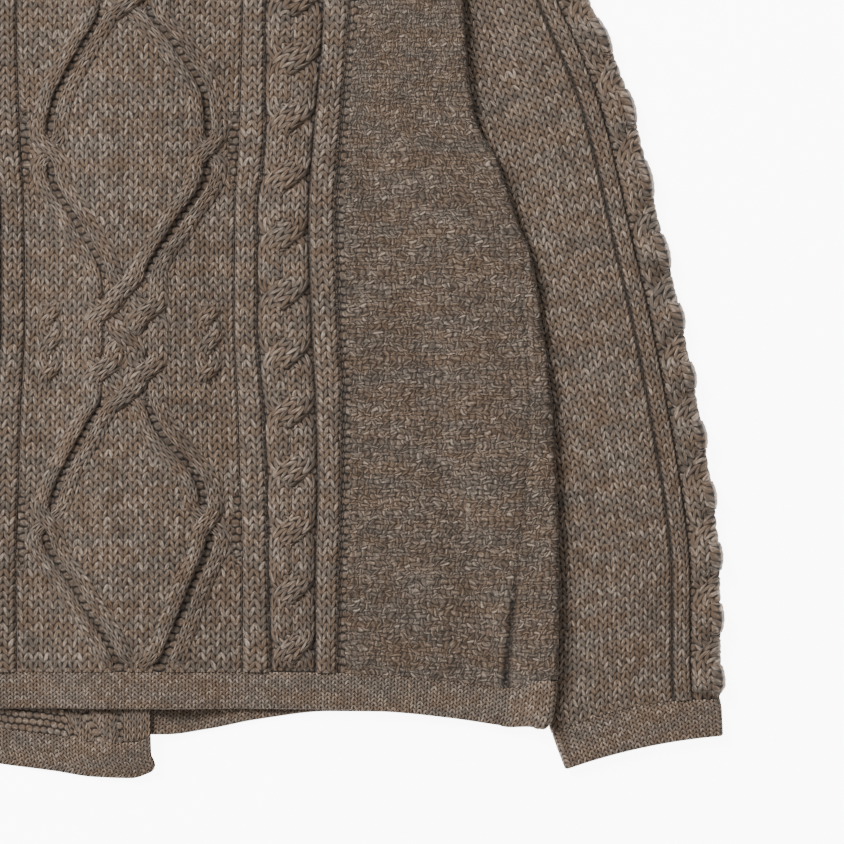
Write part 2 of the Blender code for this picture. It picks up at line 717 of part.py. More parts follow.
def make_bands():
    make_band(1, "buttonhole_band", lambda x, y: front_mid(1, BAND_RIGHT + 0 * x, y))
    make_band(-1, "button_band", lambda x, y: front_mid(-1, -BAND_RIGHT + 0 * x, y))


def make_neckband_back():
    t = np.linspace(-1.0, 1.0, NECKBAND_COLUMNS)
    share = np.array((0.0, 0.5, 1.0))[:, None]
    seam_x, seam_y = NECK_HALF * t, back_top(NECK_HALF * t) + SEAM
    edge_x = (NECK_HALF - NECKBAND) * t
    edge_y = NECK_LOW + NECKBAND + NECKBAND_CORNER * np.abs(t) ** 3
    x = seam_x + (edge_x - seam_x) * share
    y = seam_y + (edge_y - seam_y) * share
    mid = np.stack([x, y, back_mid(x, np.minimum(y, NECK_LOW))], axis=-1)
    return knitted("neckband_back", mid, colour=BAND_WOOL)


def make_neckband_front(side, name):
    seam_x, seam_y = neck_line(side, SEAM)
    edge_x, edge_y = neck_line(side, NECKBAND)
    share = np.array((0.0, 0.5, 1.0))[:, None]
    x = seam_x + (edge_x - seam_x) * share
    y = seam_y + (edge_y - seam_y) * share
    mid = np.stack([side * x, y, front_mid(side, x, y)], axis=-1)
    return knitted(name, mid, flip=side < 0, colour=BAND_WOOL)


def make_buttons():
    for number in range(BUTTON_COUNT):
        place = (
            (BAND_LEFT + BAND_RIGHT) / 2 * MM,
            (BUTTON_FIRST + BUTTON_PITCH * number - ORIGIN_Y) * MM,
            BUTTON_DEPTH / 2 * MM,
        )
        bpy.ops.mesh.primitive_cylinder_add(
            vertices=BUTTON_SIDES, radius=BUTTON_RADIUS * MM, depth=BUTTON_DEPTH * MM, location=place
        )
        button = bpy.context.active_object
        button.name = button.data.name = f"button_{number + 1}"
        button.data.materials.append(material(button.name, HORN, HORN_ROUGHNESS))
        rounded = button.modifiers.new("Bevel", "BEVEL")
        rounded.width = BUTTON_EDGE * MM
        rounded.segments = 1
        for collection in list(button.users_collection):
            collection.objects.unlink(button)
        CARDIGAN.objects.link(button)


clear_scene()
CARDIGAN = bpy.data.collections.new("cardigan")
bpy.context.scene.collection.children.link(CARDIGAN)
make_back()
make_back_hem()
for side, word in ((1, "right"), (-1, "left")):
    make_front(side, f"front_{word}")
    make_front_hem(side, f"front_{word}_hem_band")
    make_sleeve(side, f"sleeve_{word}")
    make_cuff(side, f"cuff_{word}")
    make_neckband_front(side, f"neckband_front_{word}")
make_bands()
make_neckband_back()
make_buttons()
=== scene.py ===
"""A cable knit cardigan, lying flat on its front, as every stitch of it shows.

Tables and lengths are in millimetres unless a name says otherwise, and the meshes are made in
metres. The surfaces are the part's own: each sheet is laid on its solid's middle surface,
and wales and courses are counted along the cloth, so that the wool's pattern of stitches, its
small relief and the grid of the mesh all follow one count.
"""

import math

import bpy
import numpy as np
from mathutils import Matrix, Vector


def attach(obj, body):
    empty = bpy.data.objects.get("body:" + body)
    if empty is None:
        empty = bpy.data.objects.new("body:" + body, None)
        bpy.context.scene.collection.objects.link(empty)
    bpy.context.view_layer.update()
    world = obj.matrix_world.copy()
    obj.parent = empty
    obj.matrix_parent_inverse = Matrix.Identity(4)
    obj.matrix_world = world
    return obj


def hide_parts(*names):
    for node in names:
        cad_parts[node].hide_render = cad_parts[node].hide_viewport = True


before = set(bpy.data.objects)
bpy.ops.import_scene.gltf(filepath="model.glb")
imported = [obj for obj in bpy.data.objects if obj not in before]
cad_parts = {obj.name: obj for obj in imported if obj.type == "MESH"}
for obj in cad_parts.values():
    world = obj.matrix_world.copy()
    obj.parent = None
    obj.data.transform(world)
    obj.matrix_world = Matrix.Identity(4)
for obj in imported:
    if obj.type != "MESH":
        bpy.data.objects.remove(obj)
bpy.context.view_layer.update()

MM = 0.001
SIDES = ((1, "right"), (-1, "left"))

# The part's driving dimensions
ORIGIN_Y = 256.4
WALL = 2.2
SEAM = 0.45
LAYER_GAP, CLEARANCE = 0.9, 0.3
HEM_DEPTH, CUFF_DEPTH = 20.5, 20.0
BAND_LEFT, BAND_RIGHT = -3.2, 14.0
BUTTON_DEPTH = 2.0
SLEEVE_FOLD = 1.7
NECK_HALF, NECK_LOW, NECK_RISE = 92.0, 521.0, 32.0
FRONT_NECK_LOW, FRONT_NECK_MIDDLE = 462.0, 10.0
NECKBAND, NECKBAND_CORNER = 17.0, 16.0
SHOULDER_X, SHOULDER_Y = 198.8, 530.0

# How the layers rise and fall: a height, and spans over which it comes or goes
LIFT, RAMP, RAMP_END = 6.0, 25.0, 1.0
RIDGE, RIDGE_LEFT, RIDGE_RIGHT = 4.7, (-52.0, -7.0), (17.0, 62.0)
PUFF, PUFF_START, PUFF_EDGE = 2.6, (45.0, 95.0), (4.0, 49.0)
PUFF_LOW, PUFF_HIGH = (-5.0, 55.0), (420.0, 500.0)
EDGE_FULLNESS, EDGE_SPAN = 1.2, (-18.0, -4.0)
RIGHT_PLACKET, LEFT_PLACKET = (14.0, 40.0), (3.0, 38.0)
LEFT_PLACKET_LOW = (-48.0, -18.0)
NEAR_FOLD = 2.0
SLEEVE_RIDGE, SLEEVE_RIDGE_INNER, SLEEVE_RIDGE_OUTER = 2.7, (8.0, 34.0), (0.0, 0.22)
CUFF_ROWS, CALM_ROWS, CALM = (1.0, 2.0), (1.5, 5.5), 0.45
SLEEVE_SOFT_EDGE = 6.0
ROPE_ROOM, ROPE_ROOM_ROWS = 2.1, (0.75, 1.35)


def held(*rows):
    """A table of rows, each with the place where it holds and then its values."""
    return np.array(rows)


# The side fold of the body: y, x, and how far the front comes round it onto the back
SIDE = held(
    (-14.0, 232.0, 25.0), (-4.5, 237.5, 27.0), (20.7, 240.2, 28.0), (71.1, 240.8, 24.0),
    (140.0, 238.6, 15.5), (177.5, 235.8, 12.0), (216.7, 230.7, 9.0), (248.1, 226.2, 5.5),
    (273.3, 217.3, 0.0), (304.1, 207.2, 0.0), (329.3, 194.3, 0.0), (362.3, 189.8, 0.0),
    (395.9, 187.6, 0.0), (430.0, 185.5, 0.0), (470.0, 187.0, 0.0), (505.0, 192.0, 0.0),
    (531.0, 198.8, 0.0), (560.0, 206.0, 0.0),
)

# The lower edge of the back: x, y
BACK_HEM = held(
    (0.0, -1.1), (112.0, -2.0), (146.0, -3.4), (180.0, -6.7), (213.0, -11.2), (228.0, -12.9),
    (236.0, -9.0), (243.0, -5.0),
)

# The lower edges of the fronts, by distance along the cloth from the middle: distance, right, left
FRONT_HEM = held(
    (-14.0, -16.2, -36.5), (0.0, -16.2, -41.0), (22.0, -16.2, -40.3), (45.0, -13.4, -37.0),
    (72.0, -8.0, -33.6), (112.0, -3.4, -27.6), (160.0, -4.0, -19.5), (200.0, -8.6, -15.0),
    (232.0, -11.5, -12.0), (244.0, -5.0, -5.0), (262.0, -10.0, -10.0), (280.0, -11.4, -11.4),
)

# The sleeve's rows from the end of the cuff to the armhole: inner x, y and outer x, y
SLEEVE = held(
    (244.7, -35.8, 333.4, -16.8), (237.2, -15.6, 332.6, 3.6), (216.2, 59.9, 331.5, 80.0),
    (191.0, 171.9, 314.6, 195.0), (179.8, 239.1, 298.2, 269.0), (157.4, 306.3, 279.6, 345.0),
    (142.0, 346.0, 258.7, 395.9), (134.0, 366.0, 241.4, 435.1), (129.5, 379.0, 221.8, 479.9),
    (127.0, 388.0, 197.5, 527.0),
)
MOUTH_TOP = np.array(((430.0, 146.0), (480.0, 170.0), (530.0, 194.0), (560.0, 206.0)))
SLEEVE_UNDER = np.concatenate([SLEEVE[:, 1::-1], MOUTH_TOP])

# Grooves of the back's side panel: y, then x of the inner rib's groove, the rope's two grooves
# and the outer rib's far groove
GROOVES = held(
    (-20.0, 62.5, 79.5, 104.2, 117.0), (25.2, 63.4, 79.8, 104.2, 117.0),
    (79.5, 63.6, 78.3, 104.2, 118.2), (124.9, 62.2, 77.7, 105.3, 119.3),
    (169.7, 60.9, 75.6, 104.2, 119.8), (215.0, 58.8, 72.2, 101.9, 117.6),
    (275.5, 59.2, 72.2, 100.2, 115.9), (320.3, 61.5, 76.7, 103.0, 118.2),
    (395.9, 63.5, 76.7, 108.6, 123.8), (560.0, 63.0, 76.7, 106.0, 121.0),
)

# Middle lines of the diamonds' four lanes: y, then x from the outer left to the outer right
LANES = held(
    (15.0, -8.0, 3.0, 9.0, 21.0), (31.9, -15.7, -2.8, 15.1, 29.1), (65.5, -36.1, -22.4, 28.0, 41.4),
    (96.3, -53.5, -40.0, 38.6, 52.1), (112.6, -49.8, -36.2, 35.0, 48.6),
    (124.9, -45.9, -32.5, 32.8, 46.5), (157.9, -28.6, -15.4, 9.0, 22.4),
    (174.0, -20.5, -8.4, 4.8, 17.0), (240.0, -20.0, -7.6, 4.4, 17.2), (269.9, -34.7, -21.3, 19.9, 33.6),
    (300.7, -50.7, -37.5, 37.0, 50.4), (323.1, -51.0, -38.1, 37.5, 50.4),
    (339.9, -47.9, -35.0, 36.4, 49.3), (367.9, -33.3, -20.2, 21.3, 35.0),
    (391.0, -21.5, -9.0, 5.4, 18.6), (458.0, -20.0, -7.6, 4.4, 17.2), (488.3, -34.7, -21.3, 19.9, 33.6),
    (519.0, -50.7, -37.5, 37.0, 50.4), (560.0, -51.0, -38.1, 37.5, 50.4),
)

# Crossings of neighbouring lanes: y, half height, lane at the left, and which strand is on top:
# +1 the one that rises to the right, -1 the one that rises to the left
CROSSINGS = (
    (22.0, 8.0, 1, 1), (104.2, 10.0, 0, -1), (104.2, 10.0, 2, 1), (174.2, 8.0, 1, 1),
    (188.7, 8.0, 0, 1), (188.7, 8.0, 2, 1), (206.6, 8.5, 1, -1), (221.2, 8.0, 0, 1),
    (221.2, 8.0, 2, 1), (234.6, 8.0, 1, 1), (312.5, 10.0, 0, -1), (312.5, 10.0, 2, 1),
    (392.6, 8.0, 1, 1), (407.1, 8.0, 0, 1), (407.1, 8.0, 2, 1), (425.0, 8.5, 1, -1),
    (439.6, 8.0, 0, 1), (439.6, 8.0, 2, 1), (453.0, 8.0, 1, 1),
)

MINI_MIDDLE, MINI_HALF, MINI_TURN = 44.5, 8.4, 16.0
MINI_PLACES = (204.0, 422.4)
ROPE_TURN = 33.0
SLEEVE_ROPE_HALF, SLEEVE_RIB = 14.5, 11.0

# Stitches: a wale's width and a course's height
WALE, COURSE = 5.34, 4.2
BAND_WALE, BAND_COURSE = 3.66, 2.3
SLEEVE_WALE, SLEEVE_COURSE = 5.1, 4.1
ZIG = 0.5
WALE_CELLS, COURSE_CELLS = 4, 3
KNIT, MOSS, PURL = 0.0, 1.0, 2.0

# Relief over the bare wall
STITCH_HEIGHT, BAND_STITCH_HEIGHT, MOSS_HEIGHT = 0.42, 0.28, 0.38
GROUND, RIB, GROOVE_HEIGHT = 0.45, 1.15, -0.45

# The table of soft random waves, and how uneven the stitches are by it
WANDER_SIZE = (97, 89)
UNEVEN_MOSS, UNEVEN_KNIT = 0.7, 0.3

# A sheet's inside: every how many rows and columns it has, and how much painted shade its rims get
INSIDE_ROWS, INSIDE_COLUMNS, RIM_SHADE = 12, 2, 0.3

# A strand's edge: how low it is, and from which share of the half width it gets painted shade
STRAND_EDGE, STRAND_RIM = -0.5, 0.72

# A rope's strand: how full its outer side is, how far it overlaps the other, and how much wider
# it is in a crossing
ROPE_OUTER, ROPE_OVERLAP, ROPE_WIDE = 0.35, 1.16, 1.12

# A diamond's strand: half its width, its shift towards its pair, and what it gains in a braid;
# then the braids' heights, the grooves between paired strands, and the side seam's groove: the
# heights over which it ends, its depth and width, and what each gains near the hem
STRAND_HALF, STRAND_SHIFT, STRAND_MORE = 5.6, 0.9, 1.5
BRAIDS = ((170.0, 242.0), (388.0, 462.0))
PAIR_GAP = (2.3, 4.7)
SINK_ROWS, SINK_DEPTH, SINK_WIDTH = (48.0, 80.0), (0.45, 0.9), (3.0, 1.5)

# How far the curves of the back's hem and of its neck reach into its rows
HEM_EASE, NECK_EASE = 60.0, 90.0


def step(t):
    """0 before t = 0 and 1 after t = 1, with a soft rise between."""
    t = np.clip(t, 0.0, 1.0)
    return t * t * (3.0 - 2.0 * t)


def rise(value, span):
    """A soft step from 0 at the start of a span to 1 at its end."""
    return step((value - span[0]) / (span[1] - span[0]))


def smooth(table, at, column=1):
    """A table's column as a smooth function of its first column, with no overshoot."""
    xs, ys = table[:, 0], table[:, column]
    width = np.diff(xs)
    slope = np.diff(ys) / width
    product = slope[:-1] * slope[1:]
    inner = np.where(product > 0, 2 * product / (slope[:-1] + slope[1:] + 1e-12), 0.0)
    tangent = np.concatenate([[slope[0]], inner, [slope[-1]]])
    at = np.clip(at, xs[0], xs[-1])
    i = np.clip(np.searchsorted(xs, at) - 1, 0, len(width) - 1)
    t = (at - xs[i]) / width[i]
    held = (1 + 2 * t) * (1 - t) ** 2 * ys[i] + t * t * (3 - 2 * t) * ys[i + 1]
    return held + width[i] * (t * (1 - t) ** 2 * tangent[i] - t * t * (1 - t) * tangent[i + 1])


# The layers' middle surfaces, as in the part


def body_lift(x, y):
    """How far the sleeve under the body's side lifts both of the body's layers."""
    return LIFT * rise(x - smooth(SLEEVE_UNDER, y), (-RAMP, -RAMP_END))


def placket_lift(side, x, y):
    """How far the buttons, and on the left the other band, lift a front near its edge."""
    if side > 0:
        return (BUTTON_DEPTH + CLEARANCE) * (1 - rise(x, RIGHT_PLACKET))
    under = BUTTON_DEPTH + WALL + 2 * CLEARANCE
    return under * (1 - rise(x, LEFT_PLACKET)) * rise(y, LEFT_PLACKET_LOW)


def front_mid(side, x, y):
    """Height of the middle of the front's wall, x being measured outwards."""
    return WALL / 2 + body_lift(x, y) + placket_lift(side, x, y)


def back_mid(x, y):
    """Height of the middle of the back's wall, with its soft puff beside the sleeve."""
    out = np.abs(x)
    ridge = RIDGE * rise(x, RIDGE_LEFT) * (1 - rise(x, RIDGE_RIGHT))
    puff = PUFF * rise(out, PUFF_START) * rise(smooth(SLEEVE_UNDER, y) - out, PUFF_EDGE)
    puff = puff * rise(y, PUFF_LOW) * (1 - rise(y, PUFF_HIGH))
    full = EDGE_FULLNESS * rise(out - smooth(SIDE, y), EDGE_SPAN)
    return WALL * 1.5 + LAYER_GAP + ridge + puff + full + body_lift(out, y)


def side_fold(side, y):
    """The body's side fold at y: x of its arc's centre, that centre's height, and its radius."""
    edge = smooth(SIDE, y) - WALL / 2
    low = front_mid(side, edge - NEAR_FOLD, y)
    high = back_mid(side * (edge - NEAR_FOLD), y)
    radius = (high - low) / 2
    return edge - radius, (high + low) / 2, radius


def back_point(x, y):
    """A point of the back's middle surface, x being measured along the cloth."""
    side = np.where(x < 0, -1.0, 1.0)
    out = np.abs(x)
    centre, height, radius = side_fold(1, y)
    turn = np.clip((out - centre) / radius, 0.0, math.pi)
    flat = np.minimum(out, centre)
    z = np.where(turn > 0, height + radius * np.cos(turn), back_mid(side * flat, y))
    return np.stack([side * (flat + radius * np.sin(turn)), y, z], axis=-1)


def front_point(side, out, y):
    """A point of a front's middle surface, measured along the cloth and round the side fold."""
    centre, height, radius = side_fold(side, y)
    turn = np.clip((out - centre) / radius, 0.0, math.pi)
    past = np.maximum(out - centre - math.pi * radius, 0.0)
    flat = np.minimum(out, centre)
    z = np.where(turn > 0, height - radius * np.cos(turn), front_mid(side, flat, y))
    z = np.where(past > 0, back_mid(side * (centre - past), y), z)
    return np.stack([side * (flat + radius * np.sin(turn) - past), y, z], axis=-1)


def back_seam(y):
    """Distance along the cloth from the middle of the back to the side seam."""
    centre, _, radius = side_fold(1, y)
    return centre + radius * math.pi / 2 - smooth(SIDE, y, 2)


def front_seam(side, y):
    """Distance along the cloth from the middle of a front, round the fold, to the side seam."""
    centre, _, radius = side_fold(side, y)
    return centre + radius * math.pi / 2 + smooth(SIDE, y, 2)


def back_top(x):
    """The back's upper edge: the neck seam, and the shoulder line beside it."""
    out = np.abs(x)
    neck = NECK_LOW + NECK_RISE * (np.minimum(out, NECK_HALF) / NECK_HALF) ** 3
    slope = (SHOULDER_Y - NECK_LOW - NECK_RISE) / (SHOULDER_X - NECK_HALF)
    return neck + slope * np.maximum(out - NECK_HALF, 0.0)


def neck_line(side, inset):
    """The front neck's seam, or a line inside it, as part of an ellipse: x outwards, then y."""
    across = NECK_HALF - FRONT_NECK_MIDDLE - inset
    depth = NECK_LOW + NECK_RISE - FRONT_NECK_LOW - inset
    start = (BAND_RIGHT if side > 0 else -BAND_LEFT) + SEAM / 2
    first = math.asin((start - FRONT_NECK_MIDDLE) / across)
    angle = np.linspace(first, math.pi / 2, 25)
    return FRONT_NECK_MIDDLE + across * np.sin(angle), NECK_LOW + NECK_RISE - depth * np.cos(angle)


# The sleeve's surface, by distance round the cloth from its outer fold and by length


def sleeve_ends(row):
    """Where the sleeve's rows start and end in plan, smoothly between the table's rows."""
    table = np.column_stack([np.arange(len(SLEEVE), dtype=float), SLEEVE])
    points = [smooth(table, row, k) for k in (1, 2, 3, 4)]
    return np.stack(points[:2], axis=-1), np.stack(points[2:], axis=-1)


def sleeve_ring(row):
    """The sleeve's flat width between its folds' centres, and the length round it."""
    inner, outer = sleeve_ends(row)
    width = np.linalg.norm(outer - inner, axis=-1)
    flat = width - WALL - 2 * SLEEVE_FOLD - ROPE_ROOM * rise(row, ROPE_ROOM_ROWS)
    return width, flat, 2 * flat + 2 * math.pi * SLEEVE_FOLD


# How far the middle of the sleeve's rows is drawn up, by row
CUFF_BOW = np.array(((0.0, 0.5, 1.0, 1.4, 2.0, 9.0), (3.0, 4.6, 5.8, 4.8, 0.0, 0.0)))


def sleeve_point(distance, row):
    """A point of the sleeve's middle surface: over the top for a positive distance."""
    inner, outer = sleeve_ends(row)
    width, flat, around = sleeve_ring(row)
    lean = (outer - inner) / width[..., None]
    radius = SLEEVE_FOLD
    quarter = radius * math.pi / 2
    start = WALL / 2 + radius
    d = np.mod(distance + quarter, around)
    turn_out = np.clip(d / radius, 0.0, math.pi)
    over = np.clip(d - math.pi * radius, 0.0, flat)
    turn_in = np.clip((d - math.pi * radius - flat) / radius, 0.0, math.pi)
    under = np.clip(d - 2 * math.pi * radius - flat, 0.0, flat)
    place = start + flat - over + under + radius * (np.sin(turn_out) - np.sin(turn_in))
    place = np.where(turn_in >= math.pi, start + under, place)
    height = radius * (1 - np.cos(turn_out)) - radius * (1 - np.cos(turn_in))
    plan = inner + lean * place[..., None]
    share = np.clip(place / width, 0.0, 1.0)
    bow = np.interp(row, *CUFF_BOW) * 4 * share * (1 - share)
    plan = plan + np.stack([-lean[..., 1], lean[..., 0]], axis=-1) * bow[..., None]
    end = start + flat
    soft = step(over / SLEEVE_SOFT_EDGE) * step((flat - over) / SLEEVE_SOFT_EDGE)
    beside = rise(plan[..., 0] - smooth(SIDE, plan[..., 1]), SLEEVE_RIDGE_INNER)
    calm = CALM + (1 - CALM) * rise(row, CALM_ROWS)
    outer_part = rise(1 - (end - over) / width, SLEEVE_RIDGE_OUTER)
    puff = SLEEVE_RIDGE * beside * outer_part * calm * rise(row, CUFF_ROWS)
    puff = np.where((over > 0) & (over < flat), soft * puff, 0.0)
    return np.concatenate([plan, (WALL / 2 + height + puff)[..., None]], axis=-1)


def wander(a, b, pitch_a, pitch_b, seed):
    """Soft random waves from -1 to 1 over two counts, about the given pitches long."""
    waves = np.random.default_rng(seed).uniform(-1.0, 1.0, WANDER_SIZE)
    i, j = a / pitch_a, b / pitch_b
    low_i, low_j = np.floor(i).astype(int), np.floor(j).astype(int)
    t, s = step(i - low_i), step(j - low_j)
    end_i, end_j = WANDER_SIZE
    corners = [waves[(low_i + p) % end_i, (low_j + q) % end_j] for p in (0, 1) for q in (0, 1)]
    near = corners[0] * (1 - s) + corners[1] * s
    return near * (1 - t) + (corners[2] * (1 - s) + corners[3] * s) * t


def uneven(count, kind, seed):
    """Stitch counts with the small unevenness of real knitting, larger in moss stitch."""
    u, v = count[..., 0], count[..., 1]
    much = np.where(np.asarray(kind) == MOSS, UNEVEN_MOSS, UNEVEN_KNIT)
    fine = 0.26 * wander(u, v, 0.9, 1.1, seed), 0.30 * wander(u, v, 1.1, 0.9, seed + 1)
    wide = 0.22 * wander(u, v, 4.0, 6.0, seed + 2), 0.28 * wander(u, v, 6.0, 4.0, seed + 3)
    return np.stack([u + much * (fine[0] + wide[0]), v + much * (fine[1] + wide[1])], axis=-1)


# Meshes of sheets and strands


def surface_normals(surface, across, along, reach=0.6):
    """Unit normals of a surface, from its points a little to each side."""
    right = surface(across + reach, along) - surface(across - reach, along)
    above = surface(across, along + reach) - surface(across, along - reach)
    normal = np.cross(right, above)
    return normal / np.maximum(np.linalg.norm(normal, axis=-1, keepdims=True), 1e-9)


def grid_faces(rows, columns, first=0):
    """The corner numbers of a grid's faces, its points being numbered row by row."""
    corner = (np.arange(rows - 1)[:, None] * columns + np.arange(columns - 1)).ravel() + first
    return np.stack([corner, corner + 1, corner + columns + 1, corner + columns], axis=1)


def make_mesh(name, parts, material, node_names=()):
    """A piece from parts, each a grid of points with its stitch counts and attributes."""
    points, faces, counts, kinds, painted_shades = [], [], [], [], []
    first = 0
    for part in parts:
        rows, columns = part["points"].shape[:2]
        corners = grid_faces(rows, columns, first)
        faces.append(corners[:, ::-1] if part.get("flip") else corners)
        points.append(part["points"].reshape(-1, 3))
        counts.append(part["count"].reshape(-1, 2))
        kinds.append(np.broadcast_to(part["kind"], (rows, columns)).ravel())
        painted_shades.append(np.broadcast_to(part["painted_shade"], (rows, columns)).ravel())
        first += rows * columns
    points = (np.concatenate(points) - np.array((0.0, ORIGIN_Y, 0.0))) * MM
    faces = np.concatenate(faces)
    mesh = bpy.data.meshes.new(name)
    mesh.vertices.add(len(points))
    mesh.vertices.foreach_set("co", points.ravel())
    mesh.loops.add(faces.size)
    mesh.loops.foreach_set("vertex_index", faces.ravel())
    mesh.polygons.add(len(faces))
    mesh.polygons.foreach_set("loop_start", np.arange(len(faces)) * 4)
    mesh.update(calc_edges=True)
    layer = mesh.uv_layers.new(name="stitches")
    layer.data.foreach_set("uv", np.concatenate(counts)[faces.ravel()].ravel())
    # Each sheet's painted shade of grooves, seams and strand edges goes to the wool as an attribute.
    for word, values in (("kind", kinds), ("painted_shade", painted_shades)):
        attribute = mesh.attributes.new(word, "FLOAT", "POINT")
        attribute.data.foreach_set("value", np.concatenate(values))
    mesh.shade_smooth()
    mesh.materials.append(material)
    piece = bpy.data.objects.new(name, mesh)
    bpy.context.scene.collection.objects.link(piece)
    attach(piece, "root")
    if node_names:
        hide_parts(*node_names)
    return piece


def knit_height(count):
    """Height of plain knitting by its counts: a ridge along the middle of each leg."""
    wale, course = count[..., 0], count[..., 1]
    leg = np.abs(np.sin(2 * math.pi * wale))
    return leg * (0.62 - 0.38 * np.cos(2 * math.pi * (course - zigzag(wale))))


def moss_height(count):
    """Height of moss stitch by its counts: bumps and dips in turn."""
    return 0.5 + 0.5 * np.sin(math.pi * count[..., 0]) * np.sin(math.pi * count[..., 1])


def zigzag(wales):
    """How many courses higher a wale's edges are than its middle."""
    return ZIG * np.abs(2 * np.mod(wales, 1.0) - 1)


# Soft creases placed one by one, ridges above 0 and troughs below: height, half width, and the
# heights and distances from the middle that each follows
CREASES = (
    (-0.80, 9.0, (109.0, 166.0, 203.0, 257.0, 308.0, 345.0), (201.0, 193.0, 184.0, 175.0, 158.0, 136.0)),
    (-0.70, 7.0, (30.0, 50.0, 82.0), (218.0, 205.0, 193.0)),
    (0.55, 8.0, (120.0, 161.0, 267.0, 300.0), (229.0, 225.0, 203.0, 188.0)),
    (0.45, 10.0, (60.0, 110.0, 190.0), (168.0, 176.0, 160.0)),
    (-0.40, 3.0, (68.0, 131.0), (-3.0, -1.0)),
    (-0.45, 6.0, (255.0, 330.0), (-40.0, -62.0)),
    (-1.00, 8.0, (270.0, 298.0, 335.0, 378.0, 430.0), (219.0, 220.5, 214.0, 207.0, 203.0)),
    (-0.90, 7.0, (0.0, 60.0, 127.0, 211.0), (245.0, 247.0, 246.0, 243.0)),
    (0.50, 12.0, (30.0, 110.0, 200.0), (283.0, 287.0, 275.0)),
    (-0.45, 9.0, (90.0, 170.0, 260.0), (309.0, 301.0, 283.0)),
    (-0.60, 10.0, (118.0, 180.0, 260.0, 330.0), (-199.0, -190.0, -172.0, -150.0)),
    (-0.75, 6.0, (34.0, 55.0, 90.0), (-216.0, -206.0, -190.0)),
    (0.50, 9.0, (140.0, 240.0, 290.0), (-227.0, -208.0, -190.0)),
    (-0.85, 8.0, (262.0, 300.0, 350.0, 410.0), (-220.0, -220.0, -211.0, -204.0)),
    (-0.80, 8.0, (10.0, 70.0, 150.0, 225.0), (-245.0, -247.0, -245.0, -240.0)),
    (0.45, 11.0, (50.0, 130.0, 220.0), (-284.0, -286.0, -270.0)),
    (-0.50, 8.0, (420.0, 470.0, 510.0), (120.0, 150.0, 150.0)),
    (-0.55, 8.0, (410.0, 455.0, 520.0), (-118.0, -146.0, -156.0)),
)
CREASE_END, TOP_LAYER, FACING_UP = 16.0, (2.6, 3.9), (0.3, 0.9)


def crease(points, normal):
    """How far the soft creases lift the top layer of the cloth at some points."""
    x, y = points[..., 0], points[..., 1]
    lift = 0.0 * x
    for height, half, rows, places in CREASES:
        along = rise(y, (rows[0] - CREASE_END, rows[0] + CREASE_END))
        along = along * (1 - rise(y, (rows[-1] - CREASE_END, rows[-1] + CREASE_END)))
        lift = lift + height * along * np.exp(-(((x - np.interp(y, rows, places)) / half) ** 2))
    return lift * rise(points[..., 2], TOP_LAYER) * rise(normal[..., 2], FACING_UP)


def raised_part(surface, across, along, height, count, kind, painted_shade, sign=1.0, flip=False):
    """A sheet's shown side: the surface's points moved out by the wall and by its relief."""
    normal = surface_normals(surface, across, along) * sign
    points = surface(across, along)
    height = height + crease(points, normal)
    points = points + normal * (WALL / 2 + height)[..., None]
    return {"points": points, "count": count, "kind": kind, "painted_shade": painted_shade, "flip": flip}


def inside_parts(surface, across, along, height, count, sign=1.0, flip=False, closed=False):
    """A sheet's plain inside, at every few rows and columns, and the rims that join the two, which get
    painted shade.
    """
    rows = sorted({*range(0, across.shape[0], INSIDE_ROWS), across.shape[0] - 1})
    columns = sorted({*range(0, across.shape[1], INSIDE_COLUMNS), across.shape[1] - 1})
    picked = np.ix_(rows, columns)
    inside = across[picked], along[picked]
    low = -WALL * np.ones_like(inside[0])
    parts = [raised_part(surface, *inside, low, count[picked], PURL, 0.0, sign, not flip)]
    edges = [(slice(0, 1), slice(None), flip), (slice(-1, None), slice(None), not flip)]
    if not closed:
        edges += [(slice(None), slice(0, 1), not flip), (slice(None), slice(-1, None), flip)]
    for row, column, turned in edges:
        a, b, h = (x[row, column].ravel() for x in (across, along, height))
        pair = np.stack([h, -WALL + 0 * h])
        a, b = np.stack([a, a]), np.stack([b, b])
        number = count[row, column].reshape(1, -1, 2) + np.zeros((2, 1, 1))
        parts.append(raised_part(surface, a, b, pair, number, PURL, RIM_SHADE, sign, turned))
    return parts


def strand_part(surface, along, middle, halves, level, wales, full, edge_shade, top, first_wale, sign=1.0):
    """A cable's strand: a narrow sheet that follows its middle line over the cloth, higher
    where it passes over and lower where it passes under. halves, full and the edge shade each
    hold an array for its left and its right side: the half width, how full the side is, and how
    much painted shade its edge gets."""
    s = np.linspace(-1.0, 1.0, wales * WALE_CELLS + 1)
    wale = first_wale + wales * (s + 1) / 2
    at = along[:, None] + COURSE * (zigzag(wale) - ZIG / 2)
    slope = np.interp(at, along, np.gradient(middle, along))
    centre, high = (np.interp(at, along, x) for x in (middle, level))
    right_side = 0.5 + 0.5 * np.tanh(5 * s)
    half, share, dim = (
        np.interp(at, along, x[0] + 0 * along) * (1 - right_side)
        + np.interp(at, along, x[1] + 0 * along) * right_side
        for x in (halves, full, edge_shade)
    )
    length = np.sqrt(1 + slope**2)
    across = centre + s * half / length
    up = at - s * half * slope / length
    steep = (1 - s**8) ** 0.5
    soft = np.maximum(np.cos(math.pi / 2 * s), 0.0) ** 0.8
    profile = steep * share + soft * (1 - share)
    count = uneven(np.stack([wale + 0 * at, at / COURSE], axis=-1), KNIT, 50 + first_wale)
    stitch = STITCH_HEIGHT * knit_height(count) * profile
    height = STRAND_EDGE + (top - STRAND_EDGE + high) * profile + stitch
    # Painted shade along the strand's edges, where it meets the cloth.
    painted_shade = dim * rise(np.abs(s), (STRAND_RIM, 1.0))
    return raised_part(surface, across, up, height, count, KNIT, painted_shade, sign, sign < 0)


# The wool


